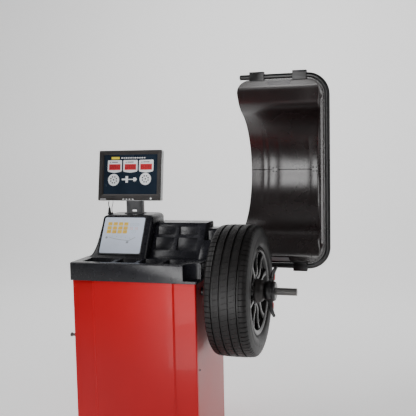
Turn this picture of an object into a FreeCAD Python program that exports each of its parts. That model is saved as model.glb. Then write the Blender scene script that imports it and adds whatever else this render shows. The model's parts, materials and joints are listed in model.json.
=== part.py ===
import FreeCAD, Part

"""Wheel balancer with a mounted wheel, a flip-over wheel guard and a tilting monitor.

Frame: origin on the floor under the middle of the cabinet, X to the right along the
spindle, Y to the back, Z up. Millimetres.
"""

import math
import os

import Sketcher

Vector = FreeCAD.Vector
Rotation = FreeCAD.Rotation

os.makedirs("parts", exist_ok=True)
doc = FreeCAD.newDocument("WheelBalancer")

# ---------------------------------------------------------------- driving dimensions

DIMENSIONS = {
    # floor plate and cabinet
    "base_half": 305,
    "base_front": -285,
    "base_rear": 255,
    "base_thick": 8,
    "base_corner": 25,
    "anchor_half": 270,
    "anchor_front": -265,
    "anchor_rear": 235,
    "anchor_radius": 7,
    "cab_half": 305,
    "cab_front": -238,
    "cab_rear": 215,
    "cab_top": 868,
    "sheet_steel": 2,
    "front_fold": 195,
    "front_step": 8,
    "front_return": 23,
    "front_corner": 6,
    # weight tray
    "tray_left": -312,
    "tray_right": 316,
    "tray_front": -252,
    "tray_rear": 222,
    "tray_low": 860,
    "tray_top": 945,
    "tray_wall": 4,
    "shelf_front": -218,
    "shelf_back": -104,
    "shelf_pocket": 24,
    "scoop_radius": 60,
    "scoop_floor": 872,
    # raised pocket bank
    "bank_left": 14,
    "bank_split": 272,
    "bank_top": 1101,
    "bank_rear": 196,
    "bank_step": 30,
    # console and keypad
    "console_left": -292,
    "console_right": 10,
    "console_top": 1143,
    "console_rear": 198,
    "console_wall": 4,
    "keypad_left": -238,
    "keypad_right": -24,
    "keypad_low": 965,
    "keypad_run": 191,
    "keypad_lean": 30,
    "keypad_thick": 3,
    # monitor on its post
    "post_left": -160,
    "post_right": -74,
    "post_front": 98,
    "post_depth": 30,
    "hinge_y": 115,
    "hinge_z": 1340,
    "hinge_radius": 5,
    "monitor_lean": 9,
    "monitor_left": -286,
    "monitor_right": 49,
    "monitor_front": -64.4,
    "monitor_back": -22.4,
    "monitor_low": -136.8,
    "monitor_high": 114.2,
    "bezel_depth": 10,
    "bezel_side": 24,
    "bezel_top": 20,
    "bezel_low": 32,
    "gland_x": -235,
    "gland_y": 55,
    "gland_height": 33,
    # spindle
    "spindle_z": 790,
    "shaft_radius": 18,
    "shaft_left": -20,
    "shaft_end": 726,
    "running_gap": 0.05,
    "housing_left": 60,
    "housing_right": 400,
    "housing_radius": 50,
    "bearing_radius": 36,
    "bearing_width": 20,
    "flange_face": 495,
    "flange_radius": 100,
    "deck_z": 690,
    "deck_thick": 12,
    "column_left": 70,
    "column_right": 240,
    "column_half": 75,
    "column_wall": 6,
    # belt drive
    "motor_z": 520,
    "motor_radius": 62,
    "spindle_pulley": 75,
    "motor_pulley": 30,
    "belt_thick": 5,
    "belt_left": 10,
    "belt_right": 30,
    # wheel
    "wheel_middle": 455,
    "tyre_half": 104.5,
    "tyre_radius": 313.5,
    "bead_radius": 190.5,
    "hub_bore": 33,
    "hub_face": 532,
    "spoke_count": 10,
    # quick nut
    "nut_rest": 575,
    "nut_end": 627,
    "nut_radius": 47,
    "handle_reach": 121,
    "handle_turn": 17,
    # wheel guard
    "hood_y": 510,
    "hood_z": 825,
    "hood_span": 1011,
    "hood_left": 322,
    "hood_end": 350,
    "hood_right": 809,
    "tube_radius": 14,
    "tube_wall": 2,
    "tube_bend": 105,
    "tube_start": 225,
    "hood_arc": 345,
    "hood_arc_back": 8,
    "hood_wall": 4,
    "hood_rim_right": 793,
    "hood_wall_right": 782,
    "hood_draft": 45,
    "hood_rim_gap": 21,
    "hood_corner": 80,
    # distance gauge
    "gauge_y": -140,
    "gauge_z": 807,
    "gauge_radius": 7,
    "gauge_end": 343,
    "gauge_finger": 16,
}

sheet = doc.addObject("Spreadsheet::Sheet", "Sizes")
for row, (alias, number) in enumerate(DIMENSIONS.items(), start=1):
    sheet.set(f"A{row}", alias)
    sheet.set(f"B{row}", str(number))
    sheet.setAlias(f"B{row}", alias)
doc.recompute()


class Size:
    """A number together with the spreadsheet expression that gives it."""

    def __init__(self, value, text):
        self.value = float(value)
        self.text = text

    def __add__(self, other):
        other = as_size(other)
        return Size(self.value + other.value, f"({self.text} + {other.text})")

    def __sub__(self, other):
        other = as_size(other)
        return Size(self.value - other.value, f"({self.text} - {other.text})")

    def __mul__(self, other):
        other = as_size(other)
        return Size(self.value * other.value, f"({self.text} * {other.text})")

    def __truediv__(self, other):
        other = as_size(other)
        return Size(self.value / other.value, f"({self.text} / {other.text})")

    def __radd__(self, other):
        return as_size(other) + self

    def __rsub__(self, other):
        return as_size(other) - self

    def __rmul__(self, other):
        return as_size(other) * self

    def __neg__(self):
        return Size(-self.value, f"(0 - {self.text})")

    def __float__(self):
        return self.value


def as_size(value):
    return value if isinstance(value, Size) else Size(value, f"({float(value)})")


class Sheet:
    """Gives each spreadsheet cell as a Size: S.tray_top."""

    def __getattr__(self, alias):
        return Size(sheet.get(alias), f"Sizes.{alias}")


S = Sheet()

# ---------------------------------------------------------------- building blocks

TURNS = {
    "X": Rotation(Vector(0, 0, 1), Vector(1, 0, 0)),
    "Y": Rotation(Vector(0, 0, 1), Vector(0, 1, 0)),
    "Z": Rotation(),
}
PLANES = {"XY": "XY_Plane", "XZ": "XZ_Plane", "YZ": "YZ_Plane"}
nodes = []


def keep(thing):
    """Marks a finished sub-part: its label becomes its file name."""
    thing.Label = thing.Name
    nodes.append(thing)
    return thing


def place(thing, x=0, y=0, z=0, turn=None):
    """Puts a thing at a point bound to the sheet, turned as given."""
    thing.Placement = FreeCAD.Placement(Vector(0, 0, 0), turn or Rotation())
    for letter, value in (("x", x), ("y", y), ("z", z)):
        thing.setExpression(f"Placement.Base.{letter}", as_size(value).text)
    return thing


def box(name, x, y, z):
    """A block between the pairs of limits x, y and z."""
    block = doc.addObject("Part::Box", name)
    for prop, (low, high) in (("Length", x), ("Width", y), ("Height", z)):
        block.setExpression(prop, (as_size(high) - low).text)
    return place(block, x[0], y[0], z[0])


def rod(name, axis, radius, span, a, b):
    """A cylinder along X, Y or Z over span; a and b are the other two coordinates."""
    cylinder = doc.addObject("Part::Cylinder", name)
    cylinder.setExpression("Radius", as_size(radius).text)
    cylinder.setExpression("Height", (as_size(span[1]) - span[0]).text)
    start = {"X": (span[0], a, b), "Y": (a, span[0], b), "Z": (a, b, span[0])}[axis]
    return place(cylinder, *start, TURNS[axis])


def fuse(name, *things):
    joined = doc.addObject("Part::MultiFuse", name)
    joined.Shapes = list(things)
    joined.Refine = True
    return joined


def group(name, *things):
    """Identical separate solids that share one sub-part."""
    together = doc.addObject("Part::Compound", name)
    together.Links = list(things)
    return together


def common(name, *things):
    shared = doc.addObject("Part::MultiCommon", name)
    shared.Shapes = list(things)
    return shared


def cut(name, base, *tools):
    result = doc.addObject("Part::Cut", name)
    result.Base = base
    result.Tool = tools[0] if len(tools) == 1 else group(f"{name}_tools", *tools)
    return result


def rounded(name, base, radius, chosen):
    """Fillets the edges of base for which chosen(edge) is true."""
    doc.recompute()
    fillet = doc.addObject("Part::Fillet", name)
    fillet.Base = base
    size = float(radius)
    fillet.Edges = [
        (number, size, size)
        for number, edge in enumerate(base.Shape.Edges, start=1)
        if chosen(edge)
    ]
    return fillet


def sketch_on(body, plane, points):
    """A closed outline whose corners are all bound to the sheet."""
    sketch = body.newObject("Sketcher::SketchObject", f"{body.Name}_outline")
    support = [f for f in body.Origin.OriginFeatures if f.Role == PLANES[plane]][0]
    sketch.AttachmentSupport = [(support, "")]
    sketch.MapMode = "FlatFace"
    corners = [(as_size(a), as_size(b)) for a, b in points]
    count = len(corners)
    for i in range(count):
        start = Vector(*[c.value for c in corners[i]], 0)
        end = Vector(*[c.value for c in corners[(i + 1) % count]], 0)
        sketch.addGeometry(Part.LineSegment(start, end), False)
    for i in range(count):
        sketch.addConstraint(Sketcher.Constraint("Coincident", i, 2, (i + 1) % count, 1))
    for i, corner in enumerate(corners):
        for kind, value in zip(("DistanceX", "DistanceY"), corner):
            number = sketch.addConstraint(
                Sketcher.Constraint(kind, -1, 1, i, 1, value.value)
            )
            if "Sizes" in value.text:
                sketch.setExpression(f"Constraints[{number}]", value.text)
    return sketch


def prism(name, plane, points, span):
    """An outline in the XY, XZ or YZ plane, padded along the third axis over span."""
    body = doc.addObject("PartDesign::Body", name)
    sketch = sketch_on(body, plane, points)
    pad = body.newObject("PartDesign::Pad", f"{name}_pad")
    pad.Profile = sketch
    pad.setExpression("Length", (as_size(span[1]) - span[0]).text)
    pad.Reversed = plane == "XZ"
    offset = {"XY": (0, 0, span[0]), "XZ": (0, span[0], 0), "YZ": (span[0], 0, 0)}
    return place(body, *offset[plane])


def turned(name, points, y=0, z=None):
    """A profile of (x, radius) points turned about an axis along X."""
    body = doc.addObject("PartDesign::Body", name)
    sketch = sketch_on(body, "XZ", points)
    revolution = body.newObject("PartDesign::Revolution", f"{name}_turn")
    revolution.Profile = sketch
    revolution.ReferenceAxis = (sketch, ["H_Axis"])
    revolution.Angle = 360
    return place(body, 0, y, S.spindle_z if z is None else z)


def made(name, shape):
    """A piece whose shape is made with Part's own functions from the sheet's sizes."""
    feature = doc.addObject("Part::Feature", name)
    feature.Shape = shape
    feature.Placement = FreeCAD.Placement()
    return feature


def is_upright(edge):
    """True for a straight edge along Z."""
    ends = [v.Point for v in edge.Vertexes]
    if len(ends) != 2:
        return False
    along = ends[1] - ends[0]
    return abs(along.z) > 1 and abs(along.x) < 1e-6 and abs(along.y) < 1e-6


def edge_at(edge, **wanted):
    """True where every point of the edge has the wanted x, y or z."""
    return all(
        abs(getattr(v.Point, letter) - value) < 1e-3
        for v in edge.Vertexes
        for letter, value in wanted.items()
    )


# ---------------------------------------------------------------- cabinet and frame


def make_floor_plate():
    side, corner = S.base_half, S.base_corner
    front, rear = S.base_front, S.base_rear
    outline = [
        (corner - side, front),
        (side - corner, front),
        (side, front + corner),
        (side, rear - corner),
        (side - corner, rear),
        (corner - side, rear),
        (-side, rear - corner),
        (-side, front + corner),
    ]
    plate = prism("floor_blank", "XY", outline, (0, S.base_thick))
    holes = [
        rod(f"anchor_{i}{j}", "Z", S.anchor_radius, (-1, S.base_thick + 1), x, y)
        for i, x in enumerate((-S.anchor_half, S.anchor_half))
        for j, y in enumerate((S.anchor_front, S.anchor_rear))
    ]
    keep(cut("floor_plate", plate, *holes))


def make_column_frame():
    """A welded box column with a deck for the spindle and a shelf for the motor."""
    left, right, half = S.column_left, S.column_right, S.column_half
    wall, floor, deck = S.column_wall, S.base_thick, S.deck_z
    top = deck + S.deck_thick
    tube = cut(
        "column_tube",
        box("column_outside", (left, right), (-half, half), (floor, deck)),
        box(
            "column_inside",
            (left + wall, right - wall),
            (wall - half, half - wall),
            (floor - 1, deck + 1),
        ),
    )
    shelf_top = S.motor_z - 72
    pieces = [
        tube,
        box("spindle_deck", (left - 20, right + 50), (-110, 110), (deck, top)),
        box("motor_shelf", (-190, left), (-70, 70), (shelf_top - 8, shelf_top)),
        prism(
            "shelf_gusset",
            "XZ",
            [(left, shelf_top - 8), (-120, shelf_top - 8), (left, shelf_top - 130)],
            (-4, 4),
        ),
    ]
    for i, x in enumerate((84, 224)):
        pieces.append(box(f"sensor_lug_{i}", (x, x + 20), (75, 90), (top, top + 63)))
    keep(fuse("column_frame", *pieces))


def make_front_panel():
    """One sheet with two bevelled folds and a return at each side."""
    half, step, steel = S.cab_half, S.front_step, S.sheet_steel
    front, fold = S.cab_front, S.front_fold
    back = front + S.front_return
    slip = steel * (math.sqrt(2) - 1)
    inner = fold - slip
    left_side = [
        (-half, back),
        (-half, front),
        (-fold - step, front),
        (-fold, front - step),
    ]
    left_inside = [
        (-inner, front - step + steel),
        (-inner - step, front + steel),
        (steel - half, front + steel),
        (steel - half, back),
    ]
    right_side = [(-x, y) for x, y in reversed(left_side)]
    right_inside = [(-x, y) for x, y in reversed(left_inside)]
    outline = left_side + right_side + right_inside + left_inside
    panel = prism("front_blank", "XY", outline, (S.base_thick, S.cab_top))
    corner_x, corner_y, thick = half.value, front.value, steel.value

    def at_corner(inset):
        x, y = corner_x - inset, corner_y + inset
        return lambda e: is_upright(e) and (edge_at(e, x=x, y=y) or edge_at(e, x=-x, y=y))

    outer = rounded("front_outer_bend", panel, S.front_corner, at_corner(0))
    keep(rounded("front_panel", outer, S.front_corner - steel, at_corner(thick)))


def make_side_panels():
    half, steel = S.cab_half, S.sheet_steel
    depth = (S.cab_front + S.front_return, S.cab_rear)
    height = (S.base_thick, S.cab_top)
    keep(box("left_panel", (-half, steel - half), depth, height))
    blank = box("right_blank", (half - steel, half), depth, height)
    through = (half - 10, half + 10)
    shaft_hole = rod("shaft_hole", "X", 56, through, 0, S.spindle_z)
    gauge_hole = rod("gauge_hole", "X", 13, through, S.gauge_y, S.gauge_z)
    keep(cut("right_panel", blank, shaft_hole, gauge_hole))


def make_rear_panel():
    steel, half, rear = S.sheet_steel, S.cab_half, S.cab_rear
    inner = half - steel
    blank = box("rear_blank", (-inner, inner), (rear - steel, rear), (S.base_thick, S.cab_top))
    through = (rear - 10, rear + 10)
    slots = [
        box(f"vent_{i}", (-70, 70), through, (130 + 16 * i, 137 + 16 * i)) for i in range(8)
    ]
    socket_hole = box("socket_hole", (-238, -196), through, (232, 328))
    keep(cut("rear_panel", blank, socket_hole, *slots))


def make_panel_screws():
    """Pan heads on the two side panels and the rear panel."""
    heads = []
    half, rear = S.cab_half, S.cab_rear
    for z in (60, 450, 830):
        for y in (-195, 195):
            row = f"{'front' if y < 0 else 'rear'}_{z}"
            heads.append(rod(f"screw_left_{row}", "X", 5, (-half - 3, -half), y, z))
            heads.append(rod(f"screw_right_{row}", "X", 5, (half, half + 3), y, z))
        for x in (-285, 285):
            if x < 0 or z < 700:
                side = "left" if x < 0 else "right"
                heads.append(rod(f"screw_back_{side}_{z}", "Y", 5, (rear, rear + 3), x, z))
    keep(group("panel_screws", *heads))


def make_storage_pegs():
    """Steel pegs on the left side that hold the spare centring cones."""
    left = -S.cab_half
    pegs = []
    for i, y in enumerate((-185, -100, -15)):
        stem = rod(f"peg_stem_{i}", "X", 7, (left - 38, left), y, 578)
        cap = rod(f"peg_cap_{i}", "X", 10, (left - 46, left - 38), y, 578)
        pegs.append(fuse(f"peg_{i}", stem, cap))
    keep(group("storage_pegs", *pegs))


def make_power_socket():
    """Mains inlet with its rocker switch above it, in the rear panel."""
    rear = S.cab_rear
    bezel = box("socket_bezel", (-241, -193), (rear, rear + 3), (229, 331))
    core = box("socket_core", (-237.5, -196.5), (rear - 22, rear + 3), (232.5, 327.5))
    plug_room = box("plug_room", (-231, -203), (rear - 16, rear + 10), (240, 264))
    switch_room = box("switch_room", (-231, -203), (rear - 16, rear + 10), (283, 317))
    keep(cut("power_inlet", fuse("socket_solid", bezel, core), plug_room, switch_room))
    rocker_side = [(-4, -14), (9, -14), (5.5, 0), (9, 14), (-4, 14)]
    cap = prism("rocker_cap", "YZ", rocker_side, (-230, -204))
    pivot = rod("rocker_pivot", "X", 5, (-230, -204), 0, 0)
    rocker = fuse("power_switch", cap, pivot)
    keep(place(rocker, 0, rear - 2, 300, Rotation(Vector(1, 0, 0), -7)))


def make_circuit_box():
    wall = S.sheet_steel - S.cab_half
    outside = box("circuit_outside", (wall, -130), (60, 190), (560, 760))
    inside = box("circuit_inside", (wall + 2, -132), (62, 188), (562, 758))
    keep(cut("circuit_box", outside, inside))


# ---------------------------------------------------------------- tray, bank and console


def make_weight_tray():
    """A moulded lid on the cabinet with four open pockets and a scooped corner."""
    left, right, front, rear = S.tray_left, S.tray_right, S.tray_front, S.tray_rear
    low, top, wall = S.tray_low, S.tray_top, S.tray_wall
    block = box("tray_block", (left, right), (front, rear), (low, top))
    corner_x, corner_y = S.tray_right.value, S.tray_front.value
    softened = rounded("tray_soft", block, 10, is_upright)
    doc.recompute()
    lip_top = S.tray_top.value
    lipped = rounded(
        "tray_lipped", softened, 7, lambda e: edge_at(e, z=lip_top) and e.Length > 1
    )
    cavity = box(
        "tray_cavity",
        (left + wall, right - wall),
        (front + wall, rear - wall),
        (low - 1, top - wall),
    )
    shell = cut("tray_shell", lipped, cavity)

    limits = [(-262, -118), (-98, 2), (18, 122), (138, 212)]
    floor = top - S.shelf_pocket
    tubs, rooms = [], []
    for i, (a, b) in enumerate(limits):
        tubs.append(
            box(
                f"tub_{i}",
                (a - wall, b + wall),
                (S.shelf_front - wall, S.shelf_back + wall),
                (floor - wall, top - wall / 2),
            )
        )
        rooms.append(
            prism(
                f"room_{i}",
                "YZ",
                [
                    (S.shelf_front, top + 1),
                    (S.shelf_front + 8, floor),
                    (S.shelf_back, floor),
                    (S.shelf_back, top + 1),
                ],
                (a, b),
            )
        )
    centre = (corner_x - 6, corner_y + 7)
    tub_height = (S.scoop_floor - wall, top - 2)
    scoop_tub = common(
        "scoop_tub",
        rod("scoop_outside", "Z", S.scoop_radius + wall, tub_height, *centre),
        box("scoop_limits", (left, right - 1), (front + 1, rear), (low, top)),
    )
    scoop = rod("scoop", "Z", S.scoop_radius, (S.scoop_floor, top + 1), *centre)
    rests = []
    for i, (a, b, y) in enumerate(
        ((left + 3, left + 24, -200), (left + 3, left + 24, 180), (right - 24, right - 3, 180))
    ):
        rests.append(box(f"tray_rest_{i}", (a, b), (y, y + 20), (S.cab_top, top - 2)))
    solid = fuse("tray_solid", shell, scoop_tub, *tubs, *rests)
    keep(cut("weight_tray", solid, scoop, *rooms))


def bank_outline(inset):
    """The bank's side outline in Y and Z, moved inwards by inset."""
    rear = S.bank_rear - inset
    top = S.bank_top - inset
    foot = S.tray_top
    return [
        (-46 + 1.25 * inset, foot),
        (-38 + 1.25 * inset, foot + 10),
        (66 + 0.8 * inset, top - 6),
        (74 + 0.8 * inset, top),
        (rear - 8, top),
        (rear, top - 9),
        (rear, foot),
    ]


def step_outline(inset):
    """The outline of the lower step at the bank's right end."""
    rear = S.bank_rear - inset
    top = S.bank_top - S.bank_step - inset
    foot = S.tray_top
    return [
        (-78 + 1.3 * inset, foot),
        (-30 + 1.3 * inset, foot + 52),
        (92 + 0.8 * inset, top - 5),
        (100 + 0.8 * inset, top),
        (rear - 8, top),
        (rear, top - 9),
        (rear, foot),
    ]


def bank_pocket(name, low, high, span, depth):
    """Room of one slanted bin: a level floor, a back wall and an open slanted mouth."""
    slope = 104 / 140
    foot = S.tray_top + 10

    def on_face(height):
        return -38 + slope * height

    return prism(
        name,
        "YZ",
        [
            (on_face(low) - 6, foot + low),
            (on_face(low) + depth, foot + low - 4),
            (on_face(high) + 0.35 * depth, foot + high),
            (on_face(high) - 6, foot + high),
        ],
        span,
    )


def make_pocket_bank():
    left, split, right, wall = S.bank_left, S.bank_split, S.tray_right, S.tray_wall
    outside = prism("bank_outside", "YZ", bank_outline(0), (left, split))
    inside = prism("bank_inside", "YZ", bank_outline(4), (left + wall, split - wall))
    end_outside = prism("step_outside", "YZ", step_outline(0), (split, right))
    end_inside = prism("step_inside", "YZ", step_outline(4), (split - 0.5, right - wall))
    shell = cut("bank_shell", fuse("bank_blocks", outside, end_outside), inside, end_inside)
    columns = [(left + 10, left + 108), (left + 126, left + 226)]
    tub_side = [(8, 950), (90, 1000), (90, 1090), (8, 1090)]
    room_side = [(18, 1010), (84, 1010), (84, 1080), (18, 1040)]
    side_tub = prism("side_tub", "YZ", tub_side, (split + 0.5, right - 2))
    side_room = prism("side_room", "YZ", room_side, (split + 5, right - 6))
    rows = [(24, 78), (92, 128)]
    tubs, rooms = [], []
    for i, (a, b) in enumerate(columns):
        for j, (low, high) in enumerate(rows):
            tub = bank_pocket(f"bin_wall_{i}{j}", low - 4, high + 4, (a - 4, b + 4), 38)
            tubs.append(common(f"bin_tub_{i}{j}", tub, outside))
            rooms.append(bank_pocket(f"bin_room_{i}{j}", low, high, (a, b), 33))
    tubs.append(common("side_wall", side_tub, end_outside))
    keep(cut("pocket_bank", fuse("bank_solid", shell, *tubs), side_room, *rooms))


def console_outline(inset):
    """The console's side outline in Y and Z, moved inwards by inset."""
    lean = math.tan(math.radians(S.keypad_lean.value))
    foot, top, rear = S.tray_top, S.console_top - inset, S.console_rear - inset
    face_low = -94 + 1.2 * inset
    rise = S.console_top.value - S.tray_top.value - 7
    return [
        (face_low, foot),
        (face_low + lean * rise, foot + rise - inset),
        (face_low + lean * rise + 10, top),
        (rear - 12, top),
        (rear, top - 14),
        (rear, foot),
    ]


def console_front(inset):
    """The console's front outline in X and Z: its left side flares to the tray."""
    foot, top = S.tray_top, S.console_top - inset
    left, right = S.console_left + inset, S.console_right - inset
    return [
        (left, foot),
        (left + 14, foot + 16),
        (left + 26, foot + 46),
        (left + 33, foot + 95),
        (left + 37, top - 26),
        (left + 42, top - 9),
        (left + 52, top),
        (right - 20, top),
        (right - 6, top - 6),
        (right, top - 22),
        (right, foot),
    ]


def make_console():
    span_x = (S.console_left - 5, S.console_right + 5)
    outside = common(
        "console_outside",
        prism("console_side", "YZ", console_outline(0), span_x),
        prism("console_face", "XZ", console_front(0), (-120, 210)),
    )
    wall = S.console_wall.value
    inside = common(
        "console_inside",
        prism("console_side_in", "YZ", console_outline(wall), span_x),
        prism("console_face_in", "XZ", console_front(wall), (-120, 210)),
    )
    deep = -S.keypad_thick
    recess = slanted_plate("keypad_recess", 0, deep, 20)
    back = slanted_plate("keypad_backing", 6, deep - 3.4, -0.5)
    backing = common("keypad_seat", back, outside)
    shell = cut("console_hollow", outside, inside)
    keep(cut("console_shell", fuse("console_solid", shell, backing), recess))
    keep(slanted_plate("keypad_panel", -0.5, deep, 0))


def slanted_plate(name, grow, deep, proud):
    """A plate in the keypad's plane, larger than the keypad by grow on every side.
    deep and proud are its back and front, measured outwards from the keypad's face."""
    low_y = -81.5
    plate = doc.addObject("Part::Box", name)
    plate.setExpression("Length", (S.keypad_right - S.keypad_left + 2 * grow).text)
    plate.setExpression("Width", (S.keypad_run + 2 * grow).text)
    plate.setExpression("Height", (as_size(proud) - deep).text)
    lean = math.radians(S.keypad_lean.value)
    up = Vector(0, math.sin(lean), math.cos(lean))
    out = Vector(0, -math.cos(lean), math.sin(lean))
    corner = Vector(0, low_y, S.keypad_low.value) + out * float(deep) - up * grow
    turn = Rotation(Vector(1, 0, 0), up, out, "ZXY")
    plate.Placement = FreeCAD.Placement(corner, turn)
    plate.setExpression("Placement.Base.x", (S.keypad_left - grow).text)
    return plate


# ---------------------------------------------------------------- monitor


def tilted(thing):
    """Leans a monitor piece back about the hinge pin."""
    turn = Rotation(Vector(1, 0, 0), -S.monitor_lean.value)
    return place(thing, 0, S.hinge_y, S.hinge_z, turn)


def make_monitor_post():
    left, right, front, depth = S.post_left, S.post_right, S.post_front, S.post_depth
    foot, steel = S.console_top, 3
    ear_top = S.hinge_z + 12
    face_y = (front, front + steel)
    front_plate = box("post_plate", (left, right), face_y, (foot, S.hinge_z - 18))
    slot_y = (front - 5, front + 5)
    slot = box("post_slot", (left + 32, left + 56), slot_y, (foot + 10, foot + 19))
    pieces = [
        cut("post_face", front_plate, slot),
        box("post_foot", (left - 6, right + 6), (front - 12, front + depth + 14), (foot, foot + 4)),
    ]
    for side, x in (("l", left), ("r", right - steel)):
        pieces.append(
            prism(
                f"post_flange_{side}",
                "YZ",
                [
                    (front, foot),
                    (front + depth, foot),
                    (front + depth, ear_top),
                    (front + 7, ear_top),
                    (front + 7, S.hinge_z - 14),
                    (front, S.hinge_z - 22),
                ],
                (x, x + steel),
            )
        )
    pin_radius = S.hinge_radius + S.running_gap
    across = (left - 5, right + 5)
    pin_hole = rod("post_pin_hole", "X", pin_radius, across, S.hinge_y, S.hinge_z)
    keep(cut("monitor_post", fuse("post_solid", *pieces), pin_hole))


def make_monitor():
    left, right = S.monitor_left, S.monitor_right
    front, back, low, high = S.monitor_front, S.monitor_back, S.monitor_low, S.monitor_high
    seam = front + S.bezel_depth
    wall = 3
    middle = (S.post_left + S.post_right) / 2

    shell = box("housing_block", (left, right), (seam, back), (low, high))
    back_y = S.monitor_back.value
    soft = rounded("housing_soft", shell, 9, lambda e: edge_at(e, y=back_y))
    cavity = box(
        "housing_cavity",
        (left + wall, right - wall),
        (seam - 1, back - wall),
        (low + wall, high - wall),
    )
    keep(tilted(cut("monitor_housing", soft, cavity)))

    side = S.bezel_side
    frame = box("bezel_block", (left, right), (front, seam), (low, high))
    opening = box(
        "bezel_opening",
        (left + side, right - side),
        (front - 1, seam + 1),
        (low + S.bezel_low, high - S.bezel_top),
    )
    button_x, button_z = right - 50, low + 9
    button_hole = rod("button_hole", "Y", 5.3, (front - 1, seam + 1), button_x, button_z)
    keep(tilted(cut("monitor_bezel", frame, opening, button_hole)))

    glass = box(
        "screen_glass",
        (left + side - 8, right - side + 8),
        (seam, seam + 8),
        (low + S.bezel_low - 8, high - S.bezel_top + 8),
    )
    keep(tilted(group("monitor_screen", glass)))
    cap = rod("button_cap", "Y", 5, (front - 2, seam + 1.2), button_x, button_z)
    keep(tilted(group("monitor_button", cap)))

    pin = S.hinge_radius
    bracket = fuse(
        "monitor_bracket",
        box("vesa_plate", (middle - 50, middle + 50), (back, back + 3), (-50, 50)),
        box("hinge_web", (middle - 33, middle + 33), (back, 6), (-8, 8)),
        rod("hinge_pin", "X", pin, (S.post_left - 3, S.post_right + 3), 0, 0),
    )
    keep(tilted(bracket))


def tube_along(points, radius):
    """A round cord through a route: straight runs joined by tangent arcs."""
    points = [Vector(*p) for p in points]
    edges = []
    start = points[0]
    radii = []
    for before, corner, after in zip(points, points[1:], points[2:]):
        to_before = (before - corner).normalize()
        to_after = (after - corner).normalize()
        turn = math.pi - to_before.getAngle(to_after)
        shorter = min((before - corner).Length, (after - corner).Length)
        bend = 0.45 * shorter / math.tan(turn / 2)
        radii.append(round(bend, 1))
        trim = bend * math.tan(turn / 2)
        enter, leave = corner + to_before * trim, corner + to_after * trim
        inward = (to_before + to_after).normalize()
        middle = corner + inward * (bend / math.cos(turn / 2) - bend)
        edges.append(Part.LineSegment(start, enter).toShape())
        edges.append(Part.Arc(enter, middle, leave).toShape())
        start = leave
    edges.append(Part.LineSegment(start, points[-1]).toShape())
    wire = Part.Wire(edges)
    direction = points[1] - points[0]
    circle = Part.Wire([Part.makeCircle(radius, points[0], direction)])
    solid = wire.makePipeShell([circle], True, False)
    expected = math.pi * radius**2 * wire.Length
    share = solid.Volume / expected
    print(f"cord: radii {radii} mm, length {wire.Length:.1f} mm, volume {share:.4f}")
    return solid


VIDEO_ROUTE = [(-235, 55, 1176), (-238, 53, 1187), (-238.5, 52, 1198), (-236, 53.5, 1208)]
POWER_ROUTE = [
    (-224, 63, 1151),
    (-225, 60, 1166),
    (-221, 56, 1181),
    (-215, 54, 1195),
    (-214, 56, 1208),
]


def make_monitor_cables():
    """Two short leads from the console up into the underside of the monitor."""
    x, y, foot = S.gland_x, S.gland_y, S.console_top
    cone = doc.addObject("Part::Cone", "gland_cone")
    cone.Radius1 = 8.5
    cone.Radius2 = 4.5
    cone.setExpression("Height", (S.gland_height - 6).text)
    place(cone, x, y, foot + 6)
    collar = rod("gland_collar", "Z", 10.5, (foot, foot + 6), x, y)
    second = rod("gland_second", "Z", 5, (foot, foot + 8), -224, 63)
    keep(group("cable_glands", fuse("gland_main", cone, collar), second))
    keep(made("video_cable", tube_along(VIDEO_ROUTE, 2.2)))
    keep(made("power_cable", tube_along(POWER_ROUTE, 1.5)))


# ---------------------------------------------------------------- spindle and drive


def make_spindle_supports():
    left, right, radius = S.housing_left, S.housing_right, S.housing_radius
    top = S.deck_z + S.deck_thick
    sleeve = turned(
        "housing_sleeve",
        [(left, S.bearing_radius), (left, radius), (right, radius), (right, S.bearing_radius)],
    )
    feet, plates, sensors = [], [], []
    for i, x in enumerate((84, 224)):
        feet.append(box(f"housing_foot_{i}", (x, x + 20), (-55, 55), (top + 34, top + 58)))
        plates.append(box(f"flexure_{i}", (x + 6, x + 14), (-55, 55), (top, top + 34)))
        sensors.append(rod(f"sensor_{i}", "Y", 9, (55, 75), x + 10, top + 46))
    bore = rod("housing_bore", "X", S.bearing_radius, (left - 5, right + 5), 0, S.spindle_z)
    keep(cut("spindle_housing", fuse("housing_solid", sleeve, *feet), bore))
    keep(group("flexure_plates", *plates))
    keep(group("piezo_sensors", *sensors))
    width = S.bearing_width
    rings = []
    for i, x in enumerate((left + 2, right - 2 - width)):
        rings.append(
            turned(
                f"bearing_{i}",
                [
                    (x, S.shaft_radius + S.running_gap),
                    (x, S.bearing_radius),
                    (x + width, S.bearing_radius),
                    (x + width, S.shaft_radius + S.running_gap),
                ],
            )
        )
    keep(group("bearings", *rings))


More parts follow.
